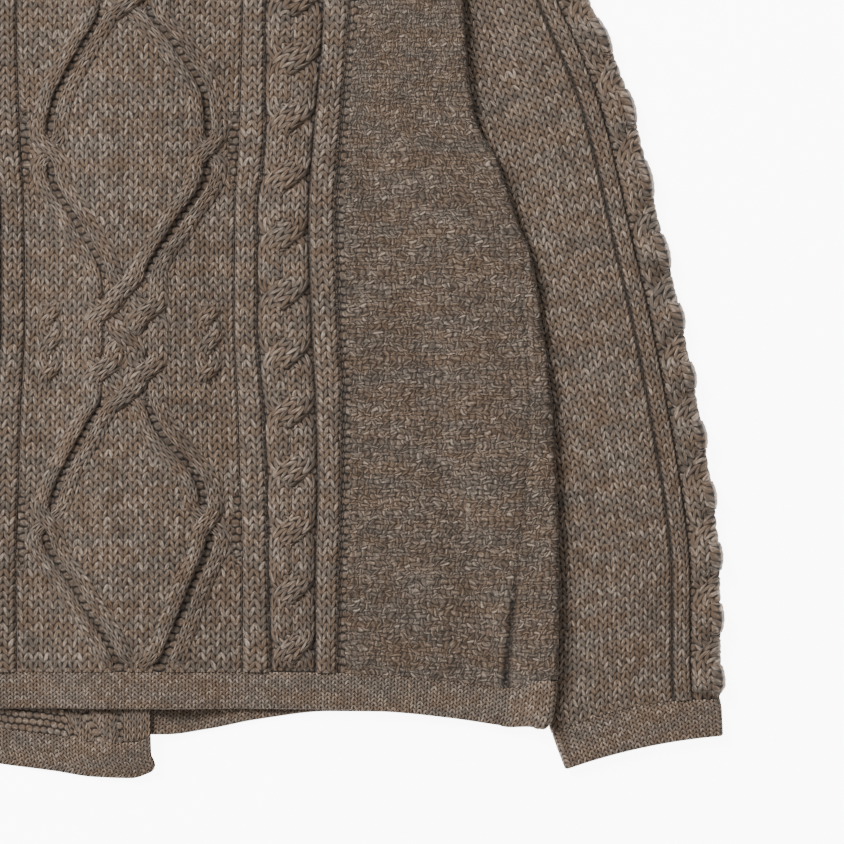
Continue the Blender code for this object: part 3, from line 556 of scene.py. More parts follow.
class Value:
    """A number that nodes work out, with the usual signs for sums, differences and products."""

    def __init__(self, graph, socket):
        self.graph, self.socket = graph, socket

    def __add__(self, other):
        return self.graph.math("ADD", self, other)

    def __sub__(self, other):
        return self.graph.math("SUBTRACT", self, other)

    def __rsub__(self, other):
        return self.graph.math("SUBTRACT", other, self)

    def __mul__(self, other):
        return self.graph.math("MULTIPLY", self, other)

    def __abs__(self):
        return self.graph.math("ABSOLUTE", self)


class Graph:
    """Short names for making a material's nodes."""

    def __init__(self, name):
        self.material = bpy.data.materials.new(name)
        self.material.use_nodes = True
        self.nodes = self.material.node_tree.nodes
        self.links = self.material.node_tree.links
        self.shader = self.nodes["Principled BSDF"]

    def put(self, socket, value):
        if isinstance(value, Value):
            self.links.new(value.socket, socket)
        else:
            socket.default_value = value

    def fill(self, node, inputs, output=0):
        """Puts values into a node's inputs, each by its name or number, and gives an output."""
        for name, value in inputs:
            self.put(node.inputs[name], value)
        return Value(self, node.outputs[output])

    def math(self, operation, *values):
        node = self.nodes.new("ShaderNodeMath")
        node.operation = operation
        return self.fill(node, enumerate(values))

    def floor(self, value):
        return self.math("FLOOR", value)

    def centred(self, value):
        """A value's fraction, from -0.5 to 0.5."""
        return self.math("FRACT", value) - 0.5

    def vector(self, *parts):
        return self.fill(self.nodes.new("ShaderNodeCombineXYZ"), enumerate(parts))

    def part(self, vector, number):
        return self.fill(self.nodes.new("ShaderNodeSeparateXYZ"), [(0, vector)], number)

    def noise(self, vector, scale, detail):
        inputs = (("Vector", vector), ("Scale", scale), ("Detail", detail))
        return self.fill(self.nodes.new("ShaderNodeTexNoise"), inputs, "Fac")

    def random(self, *parts):
        """A random number of its own for each place."""
        vector = self.vector(*parts)
        return self.fill(self.nodes.new("ShaderNodeTexWhiteNoise"), [("Vector", vector)], "Value")

    def attribute(self, name):
        node = self.nodes.new("ShaderNodeAttribute")
        node.attribute_name = name
        return self.fill(node, (), "Fac")

    def choose(self, share, a, b):
        """A value that is a where share is 0 and b where it is 1."""
        node = self.nodes.new("ShaderNodeMix")
        return self.fill(node, (("Factor", share), ("A", a), ("B", b)), "Result")

    def mix(self, share, a, b, blend="MIX"):
        """A colour between a and b."""
        node = self.nodes.new("ShaderNodeMix")
        node.data_type = "RGBA"
        node.blend_type = blend
        return self.fill(node, (("Factor", share), ("A", a), ("B", b)), "Result")

    def span(self, value, low, high, to_low=0.0, to_high=1.0):
        """A soft step from one value to another between low and high."""
        node = self.nodes.new("ShaderNodeMapRange")
        node.interpolation_type = "SMOOTHSTEP"
        return self.fill(node, enumerate((value, low, high, to_low, to_high)), "Result")

    def dress(self, colour, roughness, height, strength, distance):
        """The surface's colour and roughness, and its bump, whose distance is in millimetres."""
        inputs = (("Strength", strength), ("Distance", distance * MM), ("Height", height))
        normal = self.fill(self.nodes.new("ShaderNodeBump"), inputs, "Normal")
        for name, value in (("Base Color", colour), ("Roughness", roughness), ("Normal", normal)):
            self.put(self.shader.inputs[name], value)


WARM = (0.089, 0.059, 0.039, 1.0)
GREY = (0.075, 0.060, 0.048, 1.0)
PALE = (0.262, 0.204, 0.160, 1.0)
DARK = (0.020, 0.011, 0.006, 1.0)
PLIES, PIT_SHADE, LEG_SLANT = 2.6, 0.10, 0.35
KNIT_LEG, PURL_BUMP = (0.58, 0.62), (0.56, 0.50)

# Moss stitch: how much finer its stitches are, how far they drift, how their slants spread, the
# turn from one to the next, and a strand's width
MOSS_FINER, MOSS_DRIFT, MOSS_SPREAD, MOSS_TURN, MOSS_STRAND = 1.65, 1.3, 1.3, 1.4, 2.0


def ellipse(g, x, y, halves):
    """1 inside an ellipse about the origin, fading to 0 a little outside it."""
    square = [g.math("POWER", g.math("DIVIDE", abs(a), half), 2.0) for a, half in zip((x, y), halves)]
    return g.span(g.math("SQRT", square[0] + square[1]), 0.45, 1.2, 1.0, 0.0)


def strands(g, u, v, wale, course):
    """Moss stitch: stitches of upright strands and of strands across, in turn, each at a slant of
    its own. Gives a point's height, its places across and along its strand in millimetres, and
    its stitch's own random share."""
    u, v = u * MOSS_FINER, v * MOSS_FINER
    drift = [g.noise(g.vector(u, v, seed), 0.5, 1.0) - 0.5 for seed in (31.0, 47.0)]
    u, v = u + drift[0] * MOSS_DRIFT, v + drift[1] * MOSS_DRIFT
    column, level = g.floor(u), g.floor(v)
    x, y = g.centred(u), g.centred(v)
    own = g.random(column, level, 7.0)
    angle = g.math("FLOORED_MODULO", column + level, 2.0) * MOSS_TURN + (own - 0.5) * MOSS_SPREAD
    sine, cosine = g.math("SINE", angle), g.math("COSINE", angle)
    mm_x, mm_y = x * (wale / MOSS_FINER), y * (course / MOSS_FINER)
    across = mm_x * cosine + mm_y * sine
    along = mm_y * cosine - mm_x * sine
    ridge = g.math("COSINE", across * (2 * math.pi / MOSS_STRAND) + own * 2.0) * 0.5 + 0.5
    edge = g.math("MAXIMUM", abs(x), abs(y))
    corner = g.math("MINIMUM", abs(x), abs(y))
    height = (ridge * 0.72 + 0.35) * g.span(edge, 0.36, 0.52, 1.0, 0.62)
    return height * g.span(corner, 0.26, 0.48, 1.0, 0.3), across, along, own


def wool(name, wale, course, brightness=1.0):
    """Heather wool, knitted: the legs of every stitch by the sheet's counts, the yarn's plies as fine
    streaks along them, partly painted highlight and shade, and painted shade in pits between them."""
    g = Graph(name)
    counts = g.nodes.new("ShaderNodeUVMap")
    counts.uv_map = "stitches"
    u, v = (g.part(Value(g, counts.outputs[0]), number) for number in (0, 1))
    # The painted shade attribute darkens the colour where grooves, seams and strand edges lie.
    kind, painted_shade = g.attribute("kind"), g.attribute("painted_shade")
    is_moss = g.math("GREATER_THAN", kind, (KNIT + MOSS) / 2)
    is_purl = g.math("GREATER_THAN", kind, (MOSS + PURL) / 2)

    # Plain knitting: two legs to a wale, turned towards each other at its foot
    leg = g.floor(u * 2.0)
    side = 1.0 - g.math("FLOORED_MODULO", leg, 2.0) * 2.0
    turned = v - abs(g.centred(u)) * (2 * ZIG)
    row = g.floor(turned)
    y = g.centred(turned)
    x = g.centred(u * 2.0) + y * side * LEG_SLANT
    knit = ellipse(g, x, y, KNIT_LEG)

    # Purl bumps, and moss stitch: short strands that lie every way
    purl = ellipse(g, g.centred(g.floor(v) * 0.5 + u), g.centred(v), PURL_BUMP)
    moss, moss_x, moss_y, moss_own = strands(g, u, v, wale, course)
    body = g.choose(is_purl, g.choose(is_moss, knit, moss), purl)

    # Plies: streaks along each leg or strand
    own = g.choose(is_moss, g.random(leg, row, 1.0), moss_own)
    across = g.choose(is_moss, x, moss_x * (2.0 / wale)) * PLIES + own * 40.0
    along = g.choose(is_moss, turned, moss_y * (1.0 / course))
    plies = g.noise(g.vector(across, along * 1.3, own * 9.0), 1.0, 1.5)

    # Shades: patches along the courses, flecks in the yarn, and one shade for each leg
    mm_x, mm_y = u * wale, v * course
    patch = g.noise(g.vector(mm_x * 0.030, mm_y * 0.10), 1.0, 2.0)
    fleck = g.noise(g.vector(mm_x * 0.22, mm_y * 0.55, 3.0), 1.0, 2.0)
    cloud = g.noise(g.vector(mm_x * 0.055, mm_y * 0.075, 6.0), 1.0, 2.0)
    fibre = g.noise(g.vector(mm_x, mm_y, 9.0), 1.3, 3.0)
    tint = patch * 0.75 + g.random(row, leg, 5.0) * 0.12 + fleck * 0.13
    # The pale and dark streaks along the plies: partly painted highlight and painted shade, partly the
    # yarn's own random tone by leg and fibre.
    light = plies * 0.56 + own * 0.14 + fibre * 0.30
    colour = g.mix(g.span(tint, 0.35, 0.66), WARM, GREY)
    colour = g.mix(g.span(light, 0.48, 0.74), colour, PALE)
    colour = g.mix(g.span(light, 0.48, 0.26, 0.0, 0.85), colour, DARK)
    # Painted shade: dark pits between the stitches, and the sheet's painted shade attribute in grooves,
    # seams and along strand edges; flecks and clouds then vary the tone at random.
    shade = g.span(body, 0.0, 0.9, PIT_SHADE, 1.0) * g.span(painted_shade, 0.0, 1.0, 1.0, 0.35)
    shade = shade * (fleck * 0.55 + cloud * 0.55 + 0.45) * brightness
    colour = g.mix(1.0, colour, g.vector(shade, shade, shade), "MULTIPLY")
    for word, value in (("Specular IOR Level", 0.15), ("Sheen Weight", 0.05), ("Sheen Roughness", 0.6)):
        g.put(g.shader.inputs[word], value)
    g.dress(colour, 0.92, light * 0.9 + body, 0.8, 0.5)
    return g.material


WOOL = wool("heather_wool", WALE, COURSE)
BAND_WOOL = wool("heather_band_wool", BAND_WALE, BAND_COURSE, 1.12)


# The back


def lines_at(y):
    """Distances from the middle of the back of the lines that its columns follow."""
    grooves = [smooth(GROOVES, y, k) for k in (1, 2, 3, 4)]
    return np.stack([0 * y, *grooves, back_seam(y)])


# Columns of one side of the back, a row for each span between two lines: the line it starts
# from, its shares of the way to the next, its first wale and its wales, kind, base height, how
# much of the stitch's height shows, and how deep the groove after it is and its painted shade
BACK_SPANS = (
    (0, 0.0, 0.985, 0, 11, KNIT, GROUND, 1.0, 0.5),
    (1, 0.07, 0.88, 12, 2, KNIT, RIB, 1.0, 1.0),
    (2, 0.06, 0.94, 16, 6, PURL, 0.0, 0.0, 1.0),
    (3, 0.11, 0.89, 24, 2, KNIT, RIB, 1.0, 0.8),
    (4, 0.02, 1.0, 28, 17, MOSS, 0.15, 1.0, 0.0),
)

# The column of the groove that the middle and each side share
INNER_GROOVE = (0, 1.0, 11.5, PURL, GROOVE_HEIGHT / 2, 0.0, 0.5)


def span_columns(spans):
    """Columns as arrays: line, share, wale, kind, base, relief and painted shade, with a groove between
    spans.
    """
    rows = []
    for line, start, end, wale, wales, kind, base, relief, groove in spans:
        cells = wales if kind == PURL else wales * WALE_CELLS
        for number, share in enumerate(np.linspace(0.0, 1.0, cells + 1)):
            place = start + (end - start) * share
            ridge = base * (0.55 + 0.45 * math.sin(math.pi * share) ** 0.5)
            # Painted shade on the last cell beside the groove.
            groove_shade = 0.45 * groove if number == cells else 0.0
            rows.append((line, place, wale + wales * share, kind, ridge, relief, groove_shade))
        rows.append((line, 1.0, wale + wales + 0.5, PURL, GROOVE_HEIGHT * groove, 0.0, groove))
    return np.array(rows[:-1])


def back_columns(line, columns, y):
    """Distances of columns from the middle of the back, at each row's heights."""
    lines = lines_at(y)
    out = np.empty_like(y)
    for number, (k, share) in enumerate(zip(line.astype(int), columns)):
        out[:, number] = lines[k, :, number] * (1 - share) + lines[k + 1, :, number] * share
    return out


def back_grid(chosen):
    """Distances, heights and counts of the back's points, for chosen columns of one side."""
    line, share, wale = chosen.T[:3]
    start, end = HEM_DEPTH, NECK_LOW + NECK_RISE / 2
    rows = int((end - start) / COURSE * COURSE_CELLS) + 2
    level = start + COURSE * (np.arange(rows)[:, None] / COURSE_CELLS + zigzag(wale) - ZIG)
    level = np.clip(level, start, end)
    flat = np.ones((1, len(chosen)))
    low = smooth(BACK_HEM, back_columns(line, share, flat * HEM_DEPTH)[0]) + HEM_DEPTH + SEAM
    high = back_top(back_columns(line, share, flat * SHOULDER_Y)[0])
    near_low = 1 - rise(level, (start, start + HEM_EASE))
    near_high = rise(level, (end - NECK_EASE, end))
    y = level + near_low * (low - start) + near_high * (high - end)
    out = back_columns(line, share, y)
    return out, y, np.stack([wale + 0 * level, level / COURSE], axis=-1)


def diamond_strands(y):
    """x, level and tilt of the four strands of the diamonds at each height y."""
    order = [0, 1, 2, 3]
    lanes = [smooth(LANES, y, 1 + k) for k in range(4)]
    places = [lane.copy() for lane in lanes]
    levels = [np.zeros_like(y) for _ in order]
    tilts = [np.full_like(y, 1.0 if k % 2 == 0 else -1.0) for k in order]
    for middle, reach, lane, top in CROSSINGS:
        t = (y - middle + reach) / (2 * reach)
        rising, falling = order[lane], order[lane + 1]
        share = step(t)
        shift = share * (lanes[lane + 1] - lanes[lane])
        places[rising] = np.where(t > 0, lanes[lane] + shift, places[rising])
        places[falling] = np.where(t > 0, lanes[lane + 1] - shift, places[falling])
        side = 1.0 if lane % 2 == 0 else -1.0
        tilts[rising] = np.where(t > 0, side * (1 - 2 * share), tilts[rising])
        tilts[falling] = np.where(t > 0, -side * (1 - 2 * share), tilts[falling])
        bump = np.sqrt(np.sin(math.pi * np.clip(t, 0.0, 1.0)))
        levels[rising] = levels[rising] + top * bump
        levels[falling] = levels[falling] - top * bump
        order[lane], order[lane + 1] = falling, rising
    return places, levels, tilts


def pair_gap(x, y):
    """1 in the narrow grooves between the paired ropes of the diamonds."""
    gap = np.zeros_like(x)
    for left, right in ((1, 2), (3, 4)):
        middle = (smooth(LANES, y, left) + smooth(LANES, y, right)) / 2
        gap = np.maximum(gap, 1 - rise(np.abs(x - middle), PAIR_GAP))
    return gap * (1 - 0.85 * braided(y))


# Ladders of purl stitches beside the diamonds' outer corners: distance out and height
LADDERS = ((58.8, 312.0), (60.6, 99.0))
LADDER_HALF, LADDER_REACH = 3.4, 26.0


def ladder(x, y):
    """1 in the short ladders of purl stitches beside the diamonds' outer corners."""
    found = np.zeros_like(x)
    for out, height in LADDERS:
        half = LADDER_HALF * (1 - ((y - height) / LADDER_REACH) ** 2)
        found = np.maximum(found, rise(half - np.abs(np.abs(x) - out), (-0.4, 0.8)))
    return found


def braided(y):
    """1 where the four strands of the diamonds cross close together."""
    near = 0.0 * y
    for low, high in BRAIDS:
        near = near + rise(y, (low - 4.0, low + 8.0)) * (1 - rise(y, (high - 8.0, high + 4.0)))
    return near


def seam_sink(from_seam, y):
    """How far a side panel's edge sinks into the side seam: deeper and wider near the hem."""
    low = 1 - rise(y, SINK_ROWS)
    depth, width = (first + more * low for first, more in (SINK_DEPTH, SINK_WIDTH))
    return depth * (1 - rise(from_seam, (0.0, width)))


def make_back_middle():
    columns = np.concatenate([span_columns(BACK_SPANS[:1]), [INNER_GROOVE]])
    out, y, count = back_grid(columns)
    x = np.concatenate([-out[:, :0:-1], out], axis=1)
    y = np.concatenate([y[:, :0:-1], y], axis=1)
    count = np.concatenate([count[:, :0:-1] * (-1, 1), count], axis=1)
    kind, base, relief, painted_shade = (
        np.concatenate([columns[:0:-1, k], columns[:, k]]) for k in (3, 4, 5, 6)
    )
    count = uneven(count, kind, 20)
    gap, rungs = pair_gap(x, y), ladder(x, y)
    height = base - gap * 0.7 - rungs * 0.5 + STITCH_HEIGHT * relief * knit_height(count)
    kind = np.where(np.maximum(gap, rungs) > 0.5, PURL, kind)
    # Painted shade in the gaps between paired strands and in the purl ladders.
    painted_shade = np.maximum(np.maximum(painted_shade, gap * 0.45), rungs * 0.3)
    shown = raised_part(back_point, x, y, height, count, kind, painted_shade)
    parts = [shown] + inside_parts(back_point, x, y, height, count)
    return make_mesh("back_middle", parts, WOOL, ("back",))


def make_back_side(side, name):
    columns = np.concatenate([[INNER_GROOVE], span_columns(BACK_SPANS[1:])])
    out, y, count = back_grid(columns)
    kind, base, relief, painted_shade = (columns[:, k] for k in (3, 4, 5, 6))
    count = uneven(count, kind, 10)
    stitch = np.where(
        kind == MOSS,
        MOSS_HEIGHT * moss_height(count),
        STITCH_HEIGHT * knit_height(count),
    )
    sink = seam_sink(out[:, -1:] - out, y)
    beside = 1 - rise(out - smooth(GROOVES, y, 4), (3.4, 5.0))
    height = base + relief * stitch - sink - 0.2 * beside
    # Painted shade in the side seam's groove, and on the moss beside the outer rib's groove.
    painted_shade = np.maximum(np.maximum(painted_shade, sink * 0.9), beside * (kind == MOSS) * 0.35)
    kind = np.where((kind == MOSS) & (beside > 0.5), PURL, kind)
    surface = lambda a, b: back_point(side * a, b)
    shown = raised_part(surface, out, y, height, count, kind, painted_shade, side, side < 0)
    parts = [shown] + inside_parts(surface, out, y, height, count, side, side < 0)
    return make_mesh(name, parts, WOOL)


def rope_line(phase, half, strand, crossing=0.5):
    """Middle line and level of one of a rope's two strands: the one that rises to the right
    passes over, and each crossing takes a share of the turn. Then how full its two sides are, and
    the painted shade at their edges: full towards the other strand, and on both sides in a crossing."""
    number = np.floor(phase + 0.5)
    t = (phase - number) / crossing + 0.5
    before = np.where(np.mod(number + strand, 2) < 0.5, -1.0, 1.0)
    middle = half / 2 * before * (1 - 2 * step(t))
    crossed = np.sin(math.pi * np.clip(t * 0.7 + 0.15, 0.0, 1.0)) ** 2
    level = -before * crossed
    over = np.sin(math.pi * np.clip(t, 0.0, 1.0))
    inner_right = middle < 0
    sides = (~inner_right, inner_right)
    full = [np.maximum(np.where(inner, 1.0, ROPE_OUTER), over) for inner in sides]
    # Painted shade at the strand's edges: the outer edge always, the inner one most in a crossing.
    edge_shade = [np.where(inner, 0.05 + 0.65 * over, 0.45) for inner in sides]
    reach = [np.where(inner, ROPE_OVERLAP, 1.0) * (1 - over) + ROPE_WIDE * over for inner in sides]
    return middle, level, full, edge_shade, [half / 2 * share for share in reach]


def make_ropes():
    """The back's two ropes, of two strands each."""
    along = np.arange(HEM_DEPTH + 2.0, NECK_LOW + NECK_RISE - 2.0, COURSE / COURSE_CELLS)
    ends = 1 - rise(along, (HEM_DEPTH + 1.0, HEM_DEPTH + 7.0))
    made = []
    for side, word in SIDES:
        left, right = smooth(GROOVES, along, 2), smooth(GROOVES, along, 3)
        parts = []
        for strand in range(2):
            half = (right - left) / 2
            middle, level, full, edge_shade, halves = rope_line(along / ROPE_TURN, half, strand)
            centre = side * (left + right) / 2 + middle
            level = level * 0.8 - 1.0 * ends
            parts.append(
                strand_part(back_point, along, centre, halves, level, 3, full, edge_shade, 1.6, 10 * strand)
            )
        made.append(make_mesh(f"rope_{word}", parts, WOOL))
    return made


def make_diamonds():
    """The four strands that cross and part again as diamonds."""
    along = np.arange(HEM_DEPTH + 3.0, NECK_LOW + 4.0, COURSE / COURSE_CELLS)
    ends = 1 - rise(along, (HEM_DEPTH + 2.0, HEM_DEPTH + 9.0))
    places, levels, tilts = diamond_strands(along)
    parts = []
    for number, (place, level, tilt) in enumerate(zip(places, levels, tilts)):
        slope = np.gradient(place, along)
        full_half = (STRAND_HALF + STRAND_MORE * braided(along)) / (1 + slope**2) ** 0.3
        halves = (full_half + STRAND_SHIFT * tilt, full_half - STRAND_SHIFT * tilt)
        crossed = 1 - np.abs(tilt)
        full = [np.maximum(np.clip(t, 0.0, 1.0), crossed) for t in (-tilt, tilt)]
        # Painted shade at the strand's edges: on the side towards its pair, and on both in a crossing.
        edge_shade = [np.maximum(0.6 * np.clip(t, 0.0, 1.0), 0.5 * crossed) for t in (-tilt, tilt)]
        level = level * 0.7 - 1.2 * ends
        parts.append(
            strand_part(back_point, along, place, halves, level, 3, full, edge_shade, 1.6, 10 * number)
        )
    return make_mesh("diamond_strands", parts, WOOL)


def make_minis():
    """The small three-turn cables beside each braid."""
    parts = []
    for place in MINI_PLACES:
        for side in (1, -1):
            along = np.arange(-1.5 * MINI_TURN, 1.5 * MINI_TURN, COURSE / COURSE_CELLS)
            for strand in range(2):
                middle, level, full, edge_shade, halves = rope_line(along / MINI_TURN, MINI_HALF, strand, 0.8)
                ends = rise(np.abs(along), (1.5 * MINI_TURN, 1.2 * MINI_TURN))
                top = level * 0.6 - 1.2 * (1 - ends)
                centre = side * MINI_MIDDLE + middle
                # Lighter painted shade at the small cables' strand edges.
                edge_shade = [0.6 * edge for edge in edge_shade]
                parts.append(
                    strand_part(
                        back_point, place + along, centre, halves, top, 2, full, edge_shade, 1.2, 10 * strand
                    )
                )
    return make_mesh("small_cables", parts, WOOL)


# The fronts


def front_surface(side):
    return lambda out, y: front_point(side, out, y)


def front_edge(side):
    """Distance from the middle to a front's free edge, beside its button band."""
    return (BAND_RIGHT if side > 0 else -BAND_LEFT) + SEAM / 2


FRONT_SIDE_WALES = 8
RAMP_CELLS = 5


def front_columns(side, y):
    """Distances of a front's columns along its cloth, at heights y: few across the chest, and
    four to a wale where the front comes round the side onto the back."""
    centre, _, _ = side_fold(side, y)
    seam = front_seam(side, y)
    foot = np.minimum(smooth(SLEEVE_UNDER, y), centre - NEAR_FOLD) - RAMP
    lines = [place + 0 * y for place in neck_line(side, 0.0)[0]]
    lines.append((lines[-1] + foot) / 2)
    lines += [foot + RAMP * share for share in np.linspace(0.0, 1.0, RAMP_CELLS + 1)]
    fine = np.maximum(seam - FRONT_SIDE_WALES * WALE, foot + RAMP + 0.5)
    cells = FRONT_SIDE_WALES * WALE_CELLS
    lines += [fine + (seam - fine) * share for share in np.linspace(0.0, 1.0, cells + 1)]
    return np.stack(lines)


def at_own_heights(columns, side, y):
    """The columns' distances, each at its own heights in a grid of rows and columns."""
    lines = columns(side, y)
    numbers = np.arange(y.shape[1])
    return lines[numbers, :, numbers].T


def make_front(side, word):
    hem_column = 1 if side > 0 else 2
    at_hem = front_columns(side, np.array([HEM_DEPTH / 2]))[:, 0]
    at_neck = front_columns(side, np.array([SHOULDER_Y]))[:, 0]
    low = smooth(FRONT_HEM, at_hem, hem_column) + HEM_DEPTH + SEAM
    neck_y = neck_line(side, 0.0)[1]
    high = np.concatenate([neck_y, back_top(np.minimum(at_neck[len(neck_y) :], SHOULDER_X))])
    fine = FRONT_SIDE_WALES * WALE_CELLS + 1
    wale = np.concatenate([at_hem[:-fine] / WALE, 60 + np.arange(fine) / WALE_CELLS])
    kind = np.concatenate([np.full(len(at_hem) - fine, KNIT), np.full(fine, MOSS)])
    rows = int((SHOULDER_Y - HEM_DEPTH) / COURSE * COURSE_CELLS)
    t = np.linspace(0.0, 1.0, rows)[:, None]
    y = low + (high - low) * t
    out = at_own_heights(front_columns, side, y)
    sink = seam_sink(out[:, -1:] - out, y)
    count = uneven(np.stack([wale + 0 * y, y / COURSE], axis=-1), kind, 30)
    height = np.where(kind == MOSS, 0.1 + MOSS_HEIGHT * moss_height(count), 0.1)
    height = np.where(out < out[:, -fine][:, None] + 4.0, 0.1, height) - sink
    surface = front_surface(side)
    # Painted shade in the side seam's groove.
    shown = raised_part(surface, out, y, height, count, kind, sink * 0.6, -side, side > 0)
    parts = [shown] + inside_parts(surface, out, y, height, count, -side, side > 0)
    return make_mesh(f"front_{word}_panel", parts, WOOL, (f"front_{word}",))


def make_front_inside(side, word, reach):
    """The inside of a front, where it hangs below the back's hem: purl rows, and the back of a
    cable beside its band."""
    start = front_edge(side)
    wale = np.arange(0.0, (reach - start) / WALE, 1 / WALE_CELLS)
    out = start + WALE * wale
    low = smooth(FRONT_HEM, out, 1 if side > 0 else 2) + HEM_DEPTH + SEAM / 2
    rows = np.arange(0.0, 10.0, 1 / COURSE_CELLS)[:, None]
    y = low + COURSE * rows
    cable = rise(out, (5.0, 9.0)) * (1 - rise(out, (30.0, 36.0))) + 0 * y
    plain = np.stack([1.35 * wale + 0 * y, 1.1 * rows + 0 * y], axis=-1)
    plain[..., 1] = plain[..., 1] + 0.45 * cable * plain[..., 0]
    count = uneven(plain, KNIT, 60)
    lumps = np.sin(2 * math.pi * (wale / 3.0 - rows / 6.0)) * cable
    gutter = np.exp(-(((out - 5.5) / 1.2) ** 2)) + 0 * y
    height = 0.3 + 0.5 * lumps - 0.8 * gutter
    kind = np.where(cable > 0.5, KNIT, PURL)
    # Painted shade in the gutter beside the band.
    shown = raised_part(
        front_surface(side), out + 0 * y, y, height, count, kind, 0.7 * gutter, side, side < 0
    )
    return make_mesh(f"front_{word}_inside", [shown], WOOL)


# Bands


def rounded_ends(share, depth, free=1.1, sewn=0.4):
    """How much lower a band's face lies near its free edge and near its sewn one."""
    lower = 0.0
    for near, radius in ((share * depth, free), ((1 - share) * depth, sewn)):
        t = np.clip(near / radius, 0.0, 1.0)
        lower = lower - radius * (1 - np.sqrt(1 - (1 - t) ** 2))
    return lower


def make_band(name, surface, place, depth, wales, sign, flip, nodes, kinds=(KNIT, KNIT), closed=False):
    """A band of fine knitting. place(share, t) gives a point's distances along and across its
    surface, by its share of the length and of the depth."""
    courses = max(3, int(round(depth / BAND_COURSE)))
    wale = np.arange(wales * WALE_CELLS + 1) / WALE_CELLS
    row = np.arange(courses * COURSE_CELLS + 1)[:, None] / COURSE_CELLS
    shifted = np.clip(row + zigzag(wale) - ZIG / 2, 0.0, courses)
    shifted[0], shifted[-1] = 0.0, courses
    across, along = place(wale / wales + 0 * shifted, shifted / courses)
    count = np.stack([wale + 0 * shifted, shifted], axis=-1)
    stitch = BAND_STITCH_HEIGHT * knit_height(count)
    height = 0.15 + stitch + rounded_ends(shifted / courses, depth)
    parts = [raised_part(surface, across, along, height, count, kinds[0], 0.0, sign, flip)]
    parts.append(raised_part(surface, across, along, height, count, kinds[1], 0.0, -sign, not flip))
    return make_mesh(name, parts, BAND_WOOL, nodes)


def hem_place(side, hem_column, start, seam):
    """Where a hem band's points lie: from its start to the side seam, over its lower edge. The
    band that shows has a soft uneven end."""

    def place(share, t):
        first = start + (HEM_END[0, 1] if side < 0 else 0.0)
        at_low = first + (seam(np.array([0.0]))[0] - first) * share[:1]
        low = smooth(FRONT_HEM, at_low, hem_column)
        y = low + (HEM_DEPTH + SEAM) * t - smooth(HEM_CORNER, at_low) * (1 - t)
        end = start + (smooth(HEM_END, t) if side < 0 else 0.0)
        return end + (seam(y) - end) * share, y

    return place


# How far a hem band's edge hangs lower where it comes round the side fold
HEM_CORNER = np.array(
    ((232.0, 0.0), (238.0, 4.2), (243.0, 6.8), (250.0, 5.0), (258.0, 2.8), (268.0, 0.4))
)

# The left hem band's end: share of the band's depth, and how far the end is drawn in
HEM_END = np.array(((0.0, 3.6), (0.08, 1.2), (0.2, 0.0), (0.34, 0.7), (0.5, 2.0), (1.0, 2.2)))


def make_front_hem(side, word):
    start = BAND_LEFT if side > 0 else -BAND_RIGHT
    seam = lambda y: front_seam(side, y)
    place = hem_place(side, 1 if side > 0 else 2, start, seam)
    wales = int((seam(np.array([0.0]))[0] - start) / BAND_WALE)
    name = f"front_{word}_hem_band"
    return make_band(f"{name}_knit", front_surface(side), place, HEM_DEPTH, wales, -side, side > 0, (name,))


def make_back_hem():
    def place(share, t):
        s = 2 * share - 1
        seam = back_seam
        low = smooth(BACK_HEM, np.abs(s[:1]) * seam(np.array([0.0]))[0])
        y = low + (HEM_DEPTH + SEAM) * t
        return s * seam(y), y

    wales = 2 * int(back_seam(np.array([0.0]))[0] / BAND_WALE)
    nodes = ("back_hem_band",)
    return make_band("back_hem_band_knit", back_point, place, HEM_DEPTH, wales, 1.0, False, nodes)


def make_button_band(side, name):
    """A front's band, from the hem to the neck, flat over or under the buttons."""
    height = front_mid(side, np.array(side * BAND_RIGHT), np.array(SHOULDER_Y / 2))
    surface = lambda x, y: np.stack([x, y, band_level(side, y, height) + 0 * x], axis=-1)
    edge = BAND_RIGHT - (0.0 if side > 0 else smooth(HEM_END, 1.0))

    def place(share, t):
        x = BAND_LEFT + (edge - BAND_LEFT) * share
        lead = 0.0 if side > 0 else HEM_END[0, 1] - HEM_END[-1, 1]
        low = smooth(FRONT_HEM, side * x + lead, 1 if side > 0 else 2) + HEM_DEPTH + SEAM / 2
        return x, low + (FRONT_NECK_LOW + NECKBAND - low) * t

    return make_band(f"{name}_knit", surface, place, 300.0, 5, -1.0, True, (name,))


def band_level(side, y, height):
    """The height of a front's band, which on the left comes down below the other one's end."""
    return height if side > 0 else front_mid(side, -BAND_RIGHT + 0 * y, y)


NECK_TUCK = 1.6


def make_neckband_back():
    def place(share, t):
        s = 2 * share - 1
        seam_x, seam_y = NECK_HALF * s, back_top(NECK_HALF * s) - NECK_TUCK
        edge_x = (NECK_HALF - NECKBAND) * s
        edge_y = NECK_LOW + NECKBAND + NECKBAND_CORNER * np.abs(s) ** 3
        return seam_x + (edge_x - seam_x) * t, seam_y + (edge_y - seam_y) * t

    surface = lambda x, y: np.stack([x, y, back_mid(x, np.minimum(y, NECK_LOW))], axis=-1)
    return make_band("neckband_back_knit", surface, place, NECKBAND, 50, 1.0, False, ("neckband_back",))


def make_neckband_front(side, word):
    seam = neck_line(side, 0.0)
    edge = neck_line(side, NECKBAND)
    shares = np.linspace(0.0, 1.0, len(seam[0]))

    def place(share, t):
        a = [np.interp(share, shares, line) for line in (*seam, *edge)]
        return a[0] + (a[2] - a[0]) * t, a[1] + (a[3] - a[1]) * t

    name = f"neckband_front_{word}"
    surface = lambda x, y: np.stack([side * x, y, front_mid(side, x, y)], axis=-1)
    return make_band(f"{name}_knit", surface, place, NECKBAND, 30, -side, side > 0, (name,))


# The sleeves

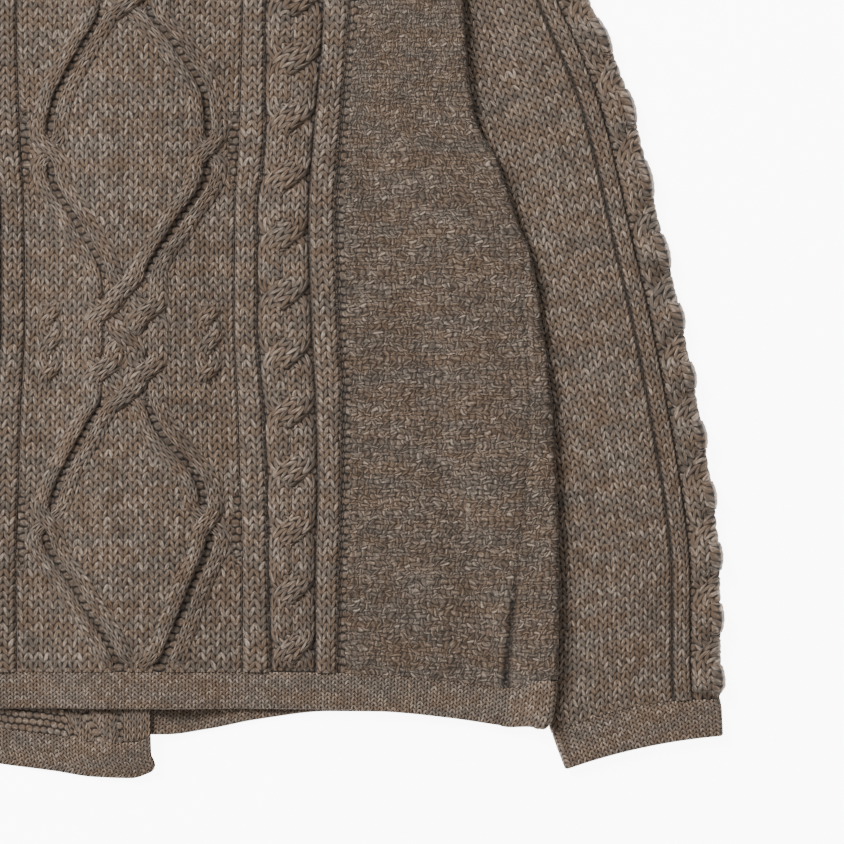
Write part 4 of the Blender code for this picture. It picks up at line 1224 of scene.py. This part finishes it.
SLEEVE_STEPS = np.linspace(0.0, len(SLEEVE) - 1.0, 400)
SLEEVE_LENGTHS = np.concatenate(
    [
        [0.0],
        np.cumsum(
            np.mean(
                [np.linalg.norm(np.diff(edge, axis=0), axis=1) for edge in sleeve_ends(SLEEVE_STEPS)],
                axis=0,
            )
        ),
    ]
)
CUFF_LENGTH = np.interp(1.0, SLEEVE_STEPS, SLEEVE_LENGTHS)


def sleeve_surface(side):
    """The sleeve's middle surface by distance round it and length from the cuff's end."""

    def surface(distance, length):
        row = np.interp(length, SLEEVE_LENGTHS, SLEEVE_STEPS)
        return sleeve_point(distance, row) * np.array((side, 1.0, 1.0))

    return surface


def ring_at(length):
    return sleeve_ring(np.interp(length, SLEEVE_LENGTHS, SLEEVE_STEPS))[2]


# Columns of the sleeve from its rope to its plain part: start and end distance, first wale,
# wales, kind, base height, relief, and how deep the groove after it is and its painted shade
SLEEVE_SPANS = (
    (-SLEEVE_ROPE_HALF, SLEEVE_ROPE_HALF, 0, 6, PURL, 0.0, 0.0, 0.6),
    (SLEEVE_ROPE_HALF + 1.2, SLEEVE_ROPE_HALF + SLEEVE_RIB - 1.0, 8, 2, KNIT, 0.9, 1.0, 1.0),
    (SLEEVE_ROPE_HALF + SLEEVE_RIB + 1.0, 118.0, 12, 18, KNIT, 0.25, 1.0, 0.0),
)
UNDER_CELLS = 14


def make_sleeve(side, word):
    rows = []
    for start, end, wale, wales, kind, base, relief, groove in SLEEVE_SPANS:
        cells = wales * (WALE_CELLS if relief else 1)
        for number, share in enumerate(np.linspace(0.0, 1.0, cells + 1)):
            ridge = base * (0.55 + 0.45 * math.sin(math.pi * share) ** 0.5)
            # Painted shade on the last cell beside a groove, and at the plain part's first edge.
            groove_shade = 0.5 * groove if number == cells else 0.45 * (wale == 12 and number == 0)
            rows.append((start + (end - start) * share, wale + wales * share, kind, ridge, relief, groove_shade))
        rows.append((end + 1.0, wale + wales + 0.5, PURL, GROOVE_HEIGHT * groove, 0.0, groove))
    columns = np.array(rows[:-1])
    place, wale, kind, base, relief, painted_shade = columns.T
    top = SLEEVE_LENGTHS[-1] - 0.5
    start = CUFF_LENGTH + SEAM / 2
    courses = int((top - start) / SLEEVE_COURSE)
    row = np.arange(courses * COURSE_CELLS + 1)[:, None] / COURSE_CELLS
    shifted = np.clip(row + zigzag(wale) - ZIG / 2, 0.0, courses)
    shifted[0], shifted[-1] = 0.0, courses
    length = start + (top - start) * shifted / courses
    under = np.linspace(0.0, 1.0, UNDER_CELLS + 1)[1:]
    beyond = start + (top - start) * row / courses + 0 * under
    ring = ring_at(beyond)
    rest = place[-1] + (ring - SLEEVE_ROPE_HALF - place[-1]) * under
    across = np.concatenate([place + 0 * length, rest], axis=1)
    length = np.concatenate([length, beyond], axis=1)
    wale = np.concatenate([wale, wale[-1] + under * 20])
    kind = np.concatenate([kind, KNIT + 0 * under])
    base = np.concatenate([base, 0.1 + 0 * under])
    base[-1] = 0.0
    relief = np.concatenate([relief, 0 * under])
    painted_shade = np.concatenate([painted_shade, 0 * under])
    count = uneven(np.stack([wale + 0 * length, (length - start) / SLEEVE_COURSE], axis=-1), kind, 40)
    surface = sleeve_surface(side)
    middle = surface(across, length)
    shown = rise(middle[..., 2], (1.2, 3.2))
    height = base + relief * STITCH_HEIGHT * knit_height(count)
    height = height * shown
    flip = side > 0
    parts = [raised_part(surface, across, length, height, count, kind, painted_shade, -side, flip)]
    parts += inside_parts(surface, across, length, height, count, -side, flip, closed=True)
    return make_mesh(f"sleeve_{word}_knit", parts, SLEEVE_WOOL, (f"sleeve_{word}",))


SLEEVE_WOOL = wool("heather_sleeve_wool", SLEEVE_WALE, SLEEVE_COURSE)


# Heights at which the sleeve's rope crosses, and how far it swells between them
SLEEVE_CROSSINGS = np.array(
    (-36.0, -3.0, 32.0, 67.0, 101.0, 135.0, 169.0, 202.0)
    + (235.0, 275.0, 317.0, 356.0, 396.0, 436.0, 476.0, 516.0)
)
SLEEVE_LOBE = 3.5


def make_sleeve_rope(side, word):
    top = SLEEVE_LENGTHS[-1] - 2.0
    along = np.arange(CUFF_LENGTH + 0.8, top, SLEEVE_COURSE / COURSE_CELLS)
    surface = sleeve_surface(side)
    edge = surface(0 * along, along)
    clear = rise(side * edge[:, 0] - smooth(SIDE, edge[:, 1]), (0.0, 6.0))
    ends = 1 - rise(along, (CUFF_LENGTH + 1.0, CUFF_LENGTH + 7.0))
    parts = []
    phase = np.interp(edge[:, 1], SLEEVE_CROSSINGS, np.arange(len(SLEEVE_CROSSINGS)))
    for strand in range(2):
        middle, level, *sides = rope_line(phase, SLEEVE_ROPE_HALF, strand)
        middle, (full, edge_shade, halves) = -middle, [pair[::-1] for pair in sides]
        lobe = SLEEVE_LOBE * np.sin(math.pi * phase) ** 2 * clear * (1 - ends)
        level = level * 0.7 + lobe - 1.6 * (1 - clear) - 1.0 * ends
        parts.append(
            strand_part(surface, along, middle, halves, level, 3, full, edge_shade, 1.4, 10 * strand, -side)
        )
    for part in parts:
        part["points"][..., 2] = np.maximum(part["points"][..., 2], 0.05)
    return make_mesh(f"sleeve_{word}_rope", parts, SLEEVE_WOOL)


def make_cuff(side, word):
    name = f"cuff_{word}"
    surface = sleeve_surface(side)
    wales = int(2 * 91.0 / BAND_WALE)

    def place(share, t):
        length = (CUFF_LENGTH + SEAM / 2) * t
        return share * ring_at(length), length

    return make_band(f"{name}_knit", surface, place, CUFF_DEPTH, wales, -side, side > 0, (name,))


# Buttons


HORN_DARK, HORN_PALE = (0.030, 0.018, 0.012, 1.0), (0.140, 0.090, 0.055, 1.0)


def horn():
    g = Graph("horn")
    place = Value(g, g.nodes.new("ShaderNodeTexCoord").outputs["Object"])
    streaks = g.noise(place, 260.0, 4.0)
    g.dress(g.mix(streaks, HORN_DARK, HORN_PALE), g.span(streaks, 0.2, 0.8, 0.28, 0.42), streaks, 0.15, 0.1)
    return g.material


# Floor, camera and light

PHOTO_SIDE, PIXEL, MIDDLE_COLUMN, HEM_ROW = 844, 0.56, 129, 707
LENS, SENSOR = 85.0, 36.0


def photo_point(column, row):
    """A place in the row's frame, in metres, by its pixel in the photograph."""
    return ((column - MIDDLE_COLUMN) * PIXEL * MM, ((HEM_ROW - row) * PIXEL - ORIGIN_Y) * MM)


def make_camera():
    data = bpy.data.cameras.new("camera")
    data.lens, data.sensor_width = LENS, SENSOR
    camera = bpy.data.objects.new("camera", data)
    x, y = photo_point(PHOTO_SIDE / 2, PHOTO_SIDE / 2)
    width = PHOTO_SIDE * PIXEL * MM
    camera.location = (x, y, width * LENS / SENSOR + 0.008)
    data.clip_start, data.clip_end = 0.01, 20.0
    bpy.context.scene.collection.objects.link(camera)
    bpy.context.scene.camera = camera


def make_light(name, place, size, power, target):
    data = bpy.data.lights.new(name, "AREA")
    data.shape, data.size, data.energy = "DISK", size, power
    light = bpy.data.objects.new(name, data)
    light.location = place
    direction = Vector(target) - Vector(place)
    light.rotation_euler = direction.to_track_quat("-Z", "Y").to_euler()
    bpy.context.scene.collection.objects.link(light)


def make_stage():
    bpy.ops.mesh.primitive_plane_add(size=6.0, location=(0.0, 0.0, -0.0002))
    floor = bpy.context.active_object
    floor.name = "floor"
    g = Graph("floor_white")
    g.put(g.shader.inputs["Base Color"], (0.93, 0.93, 0.93, 1.0))
    g.put(g.shader.inputs["Roughness"], 0.9)
    g.put(g.shader.inputs["Emission Color"], (1.0, 1.0, 1.0, 1.0))
    g.put(g.shader.inputs["Emission Strength"], FLOOR_GLOW)
    floor.data.materials.append(g.material)
    world = bpy.data.worlds.new("studio")
    bpy.context.scene.world = world
    world.use_nodes = True
    shade = world.node_tree.nodes["Background"]
    shade.inputs["Color"].default_value = (1.0, 1.0, 1.0, 1.0)
    shade.inputs["Strength"].default_value = WORLD_LIGHT
    make_light("key", (-3.0, 3.2, 3.0), 1.9, KEY_LIGHT, (0.15, 0.0, 0.0))


WORLD_LIGHT, KEY_LIGHT, FLOOR_GLOW = 0.81, 770.0, 8.5


# Each sheet's flat width and length, its flat area in square centimetres where it isn't a
# rectangle, what it lies on, and the pieces that go with it
FRONTS = ("front_right_panel", "front_left_panel")
SHEETS = (
    ("back_middle", (127.0, 511.0), None, FRONTS, ("diamond_strands", "small_cables")),
    ("back_right_side", (164.0, 544.0), 778.0, FRONTS[:1], ("rope_right",)),
    ("back_left_side", (164.0, 544.0), 778.0, FRONTS[1:], ("rope_left",)),
    ("back_hem_band_knit", (423.0, 20.5), None, FRONTS, ()),
    ("front_right_panel", (254.0, 548.0), 1073.0, (), ()),
    ("front_left_panel", (264.0, 573.0), 1165.0, (), ("front_left_inside",)),
    ("front_right_hem_band_knit", (276.0, 21.5), None, (), ()),
    ("front_left_hem_band_knit", (284.0, 21.5), None, (), ()),
    ("buttonhole_band_knit", (17.2, 474.0), None, (), ()),
    ("button_band_knit", (15.0, 499.0), None, ("buttonhole_band_knit",), ()),
    ("neckband_back_knit", (200.0, 17.0), 30.5, ("neckband_front_right_knit",), ()),
    ("neckband_front_right_knit", (125.0, 17.0), None, (), ()),
    ("neckband_front_left_knit", (135.0, 17.0), None, (), ()),
    ("sleeve_right_knit", (307.0, 484.0), 1130.0, (), ("sleeve_right_rope",)),
    ("sleeve_left_knit", (307.0, 484.0), 1130.0, (), ("sleeve_left_rope",)),
    ("cuff_right_knit", (188.0, 23.0), None, (), ()),
    ("cuff_left_knit", (188.0, 23.0), None, (), ()),
)

make_back_middle()
make_back_hem()
make_ropes()
make_diamonds()
make_minis()
for side, word in SIDES:
    make_back_side(side, f"back_{word}_side")
    make_front(side, word)
    make_front_hem(side, word)
    make_sleeve(side, word)
    make_sleeve_rope(side, word)
    make_cuff(side, word)
    make_neckband_front(side, word)
make_front_inside(-1, "left", 90.0)
make_button_band(1, "buttonhole_band")
make_button_band(-1, "button_band")
make_neckband_back()
HORN = horn()
for name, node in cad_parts.items():
    if name.startswith("button_") and name != "button_band":
        node.data.materials.clear()
        node.data.materials.append(HORN)
for name, (width, length), area, under, pieces in SHEETS:
    area = area and area / 1e4
make_stage()
make_camera()
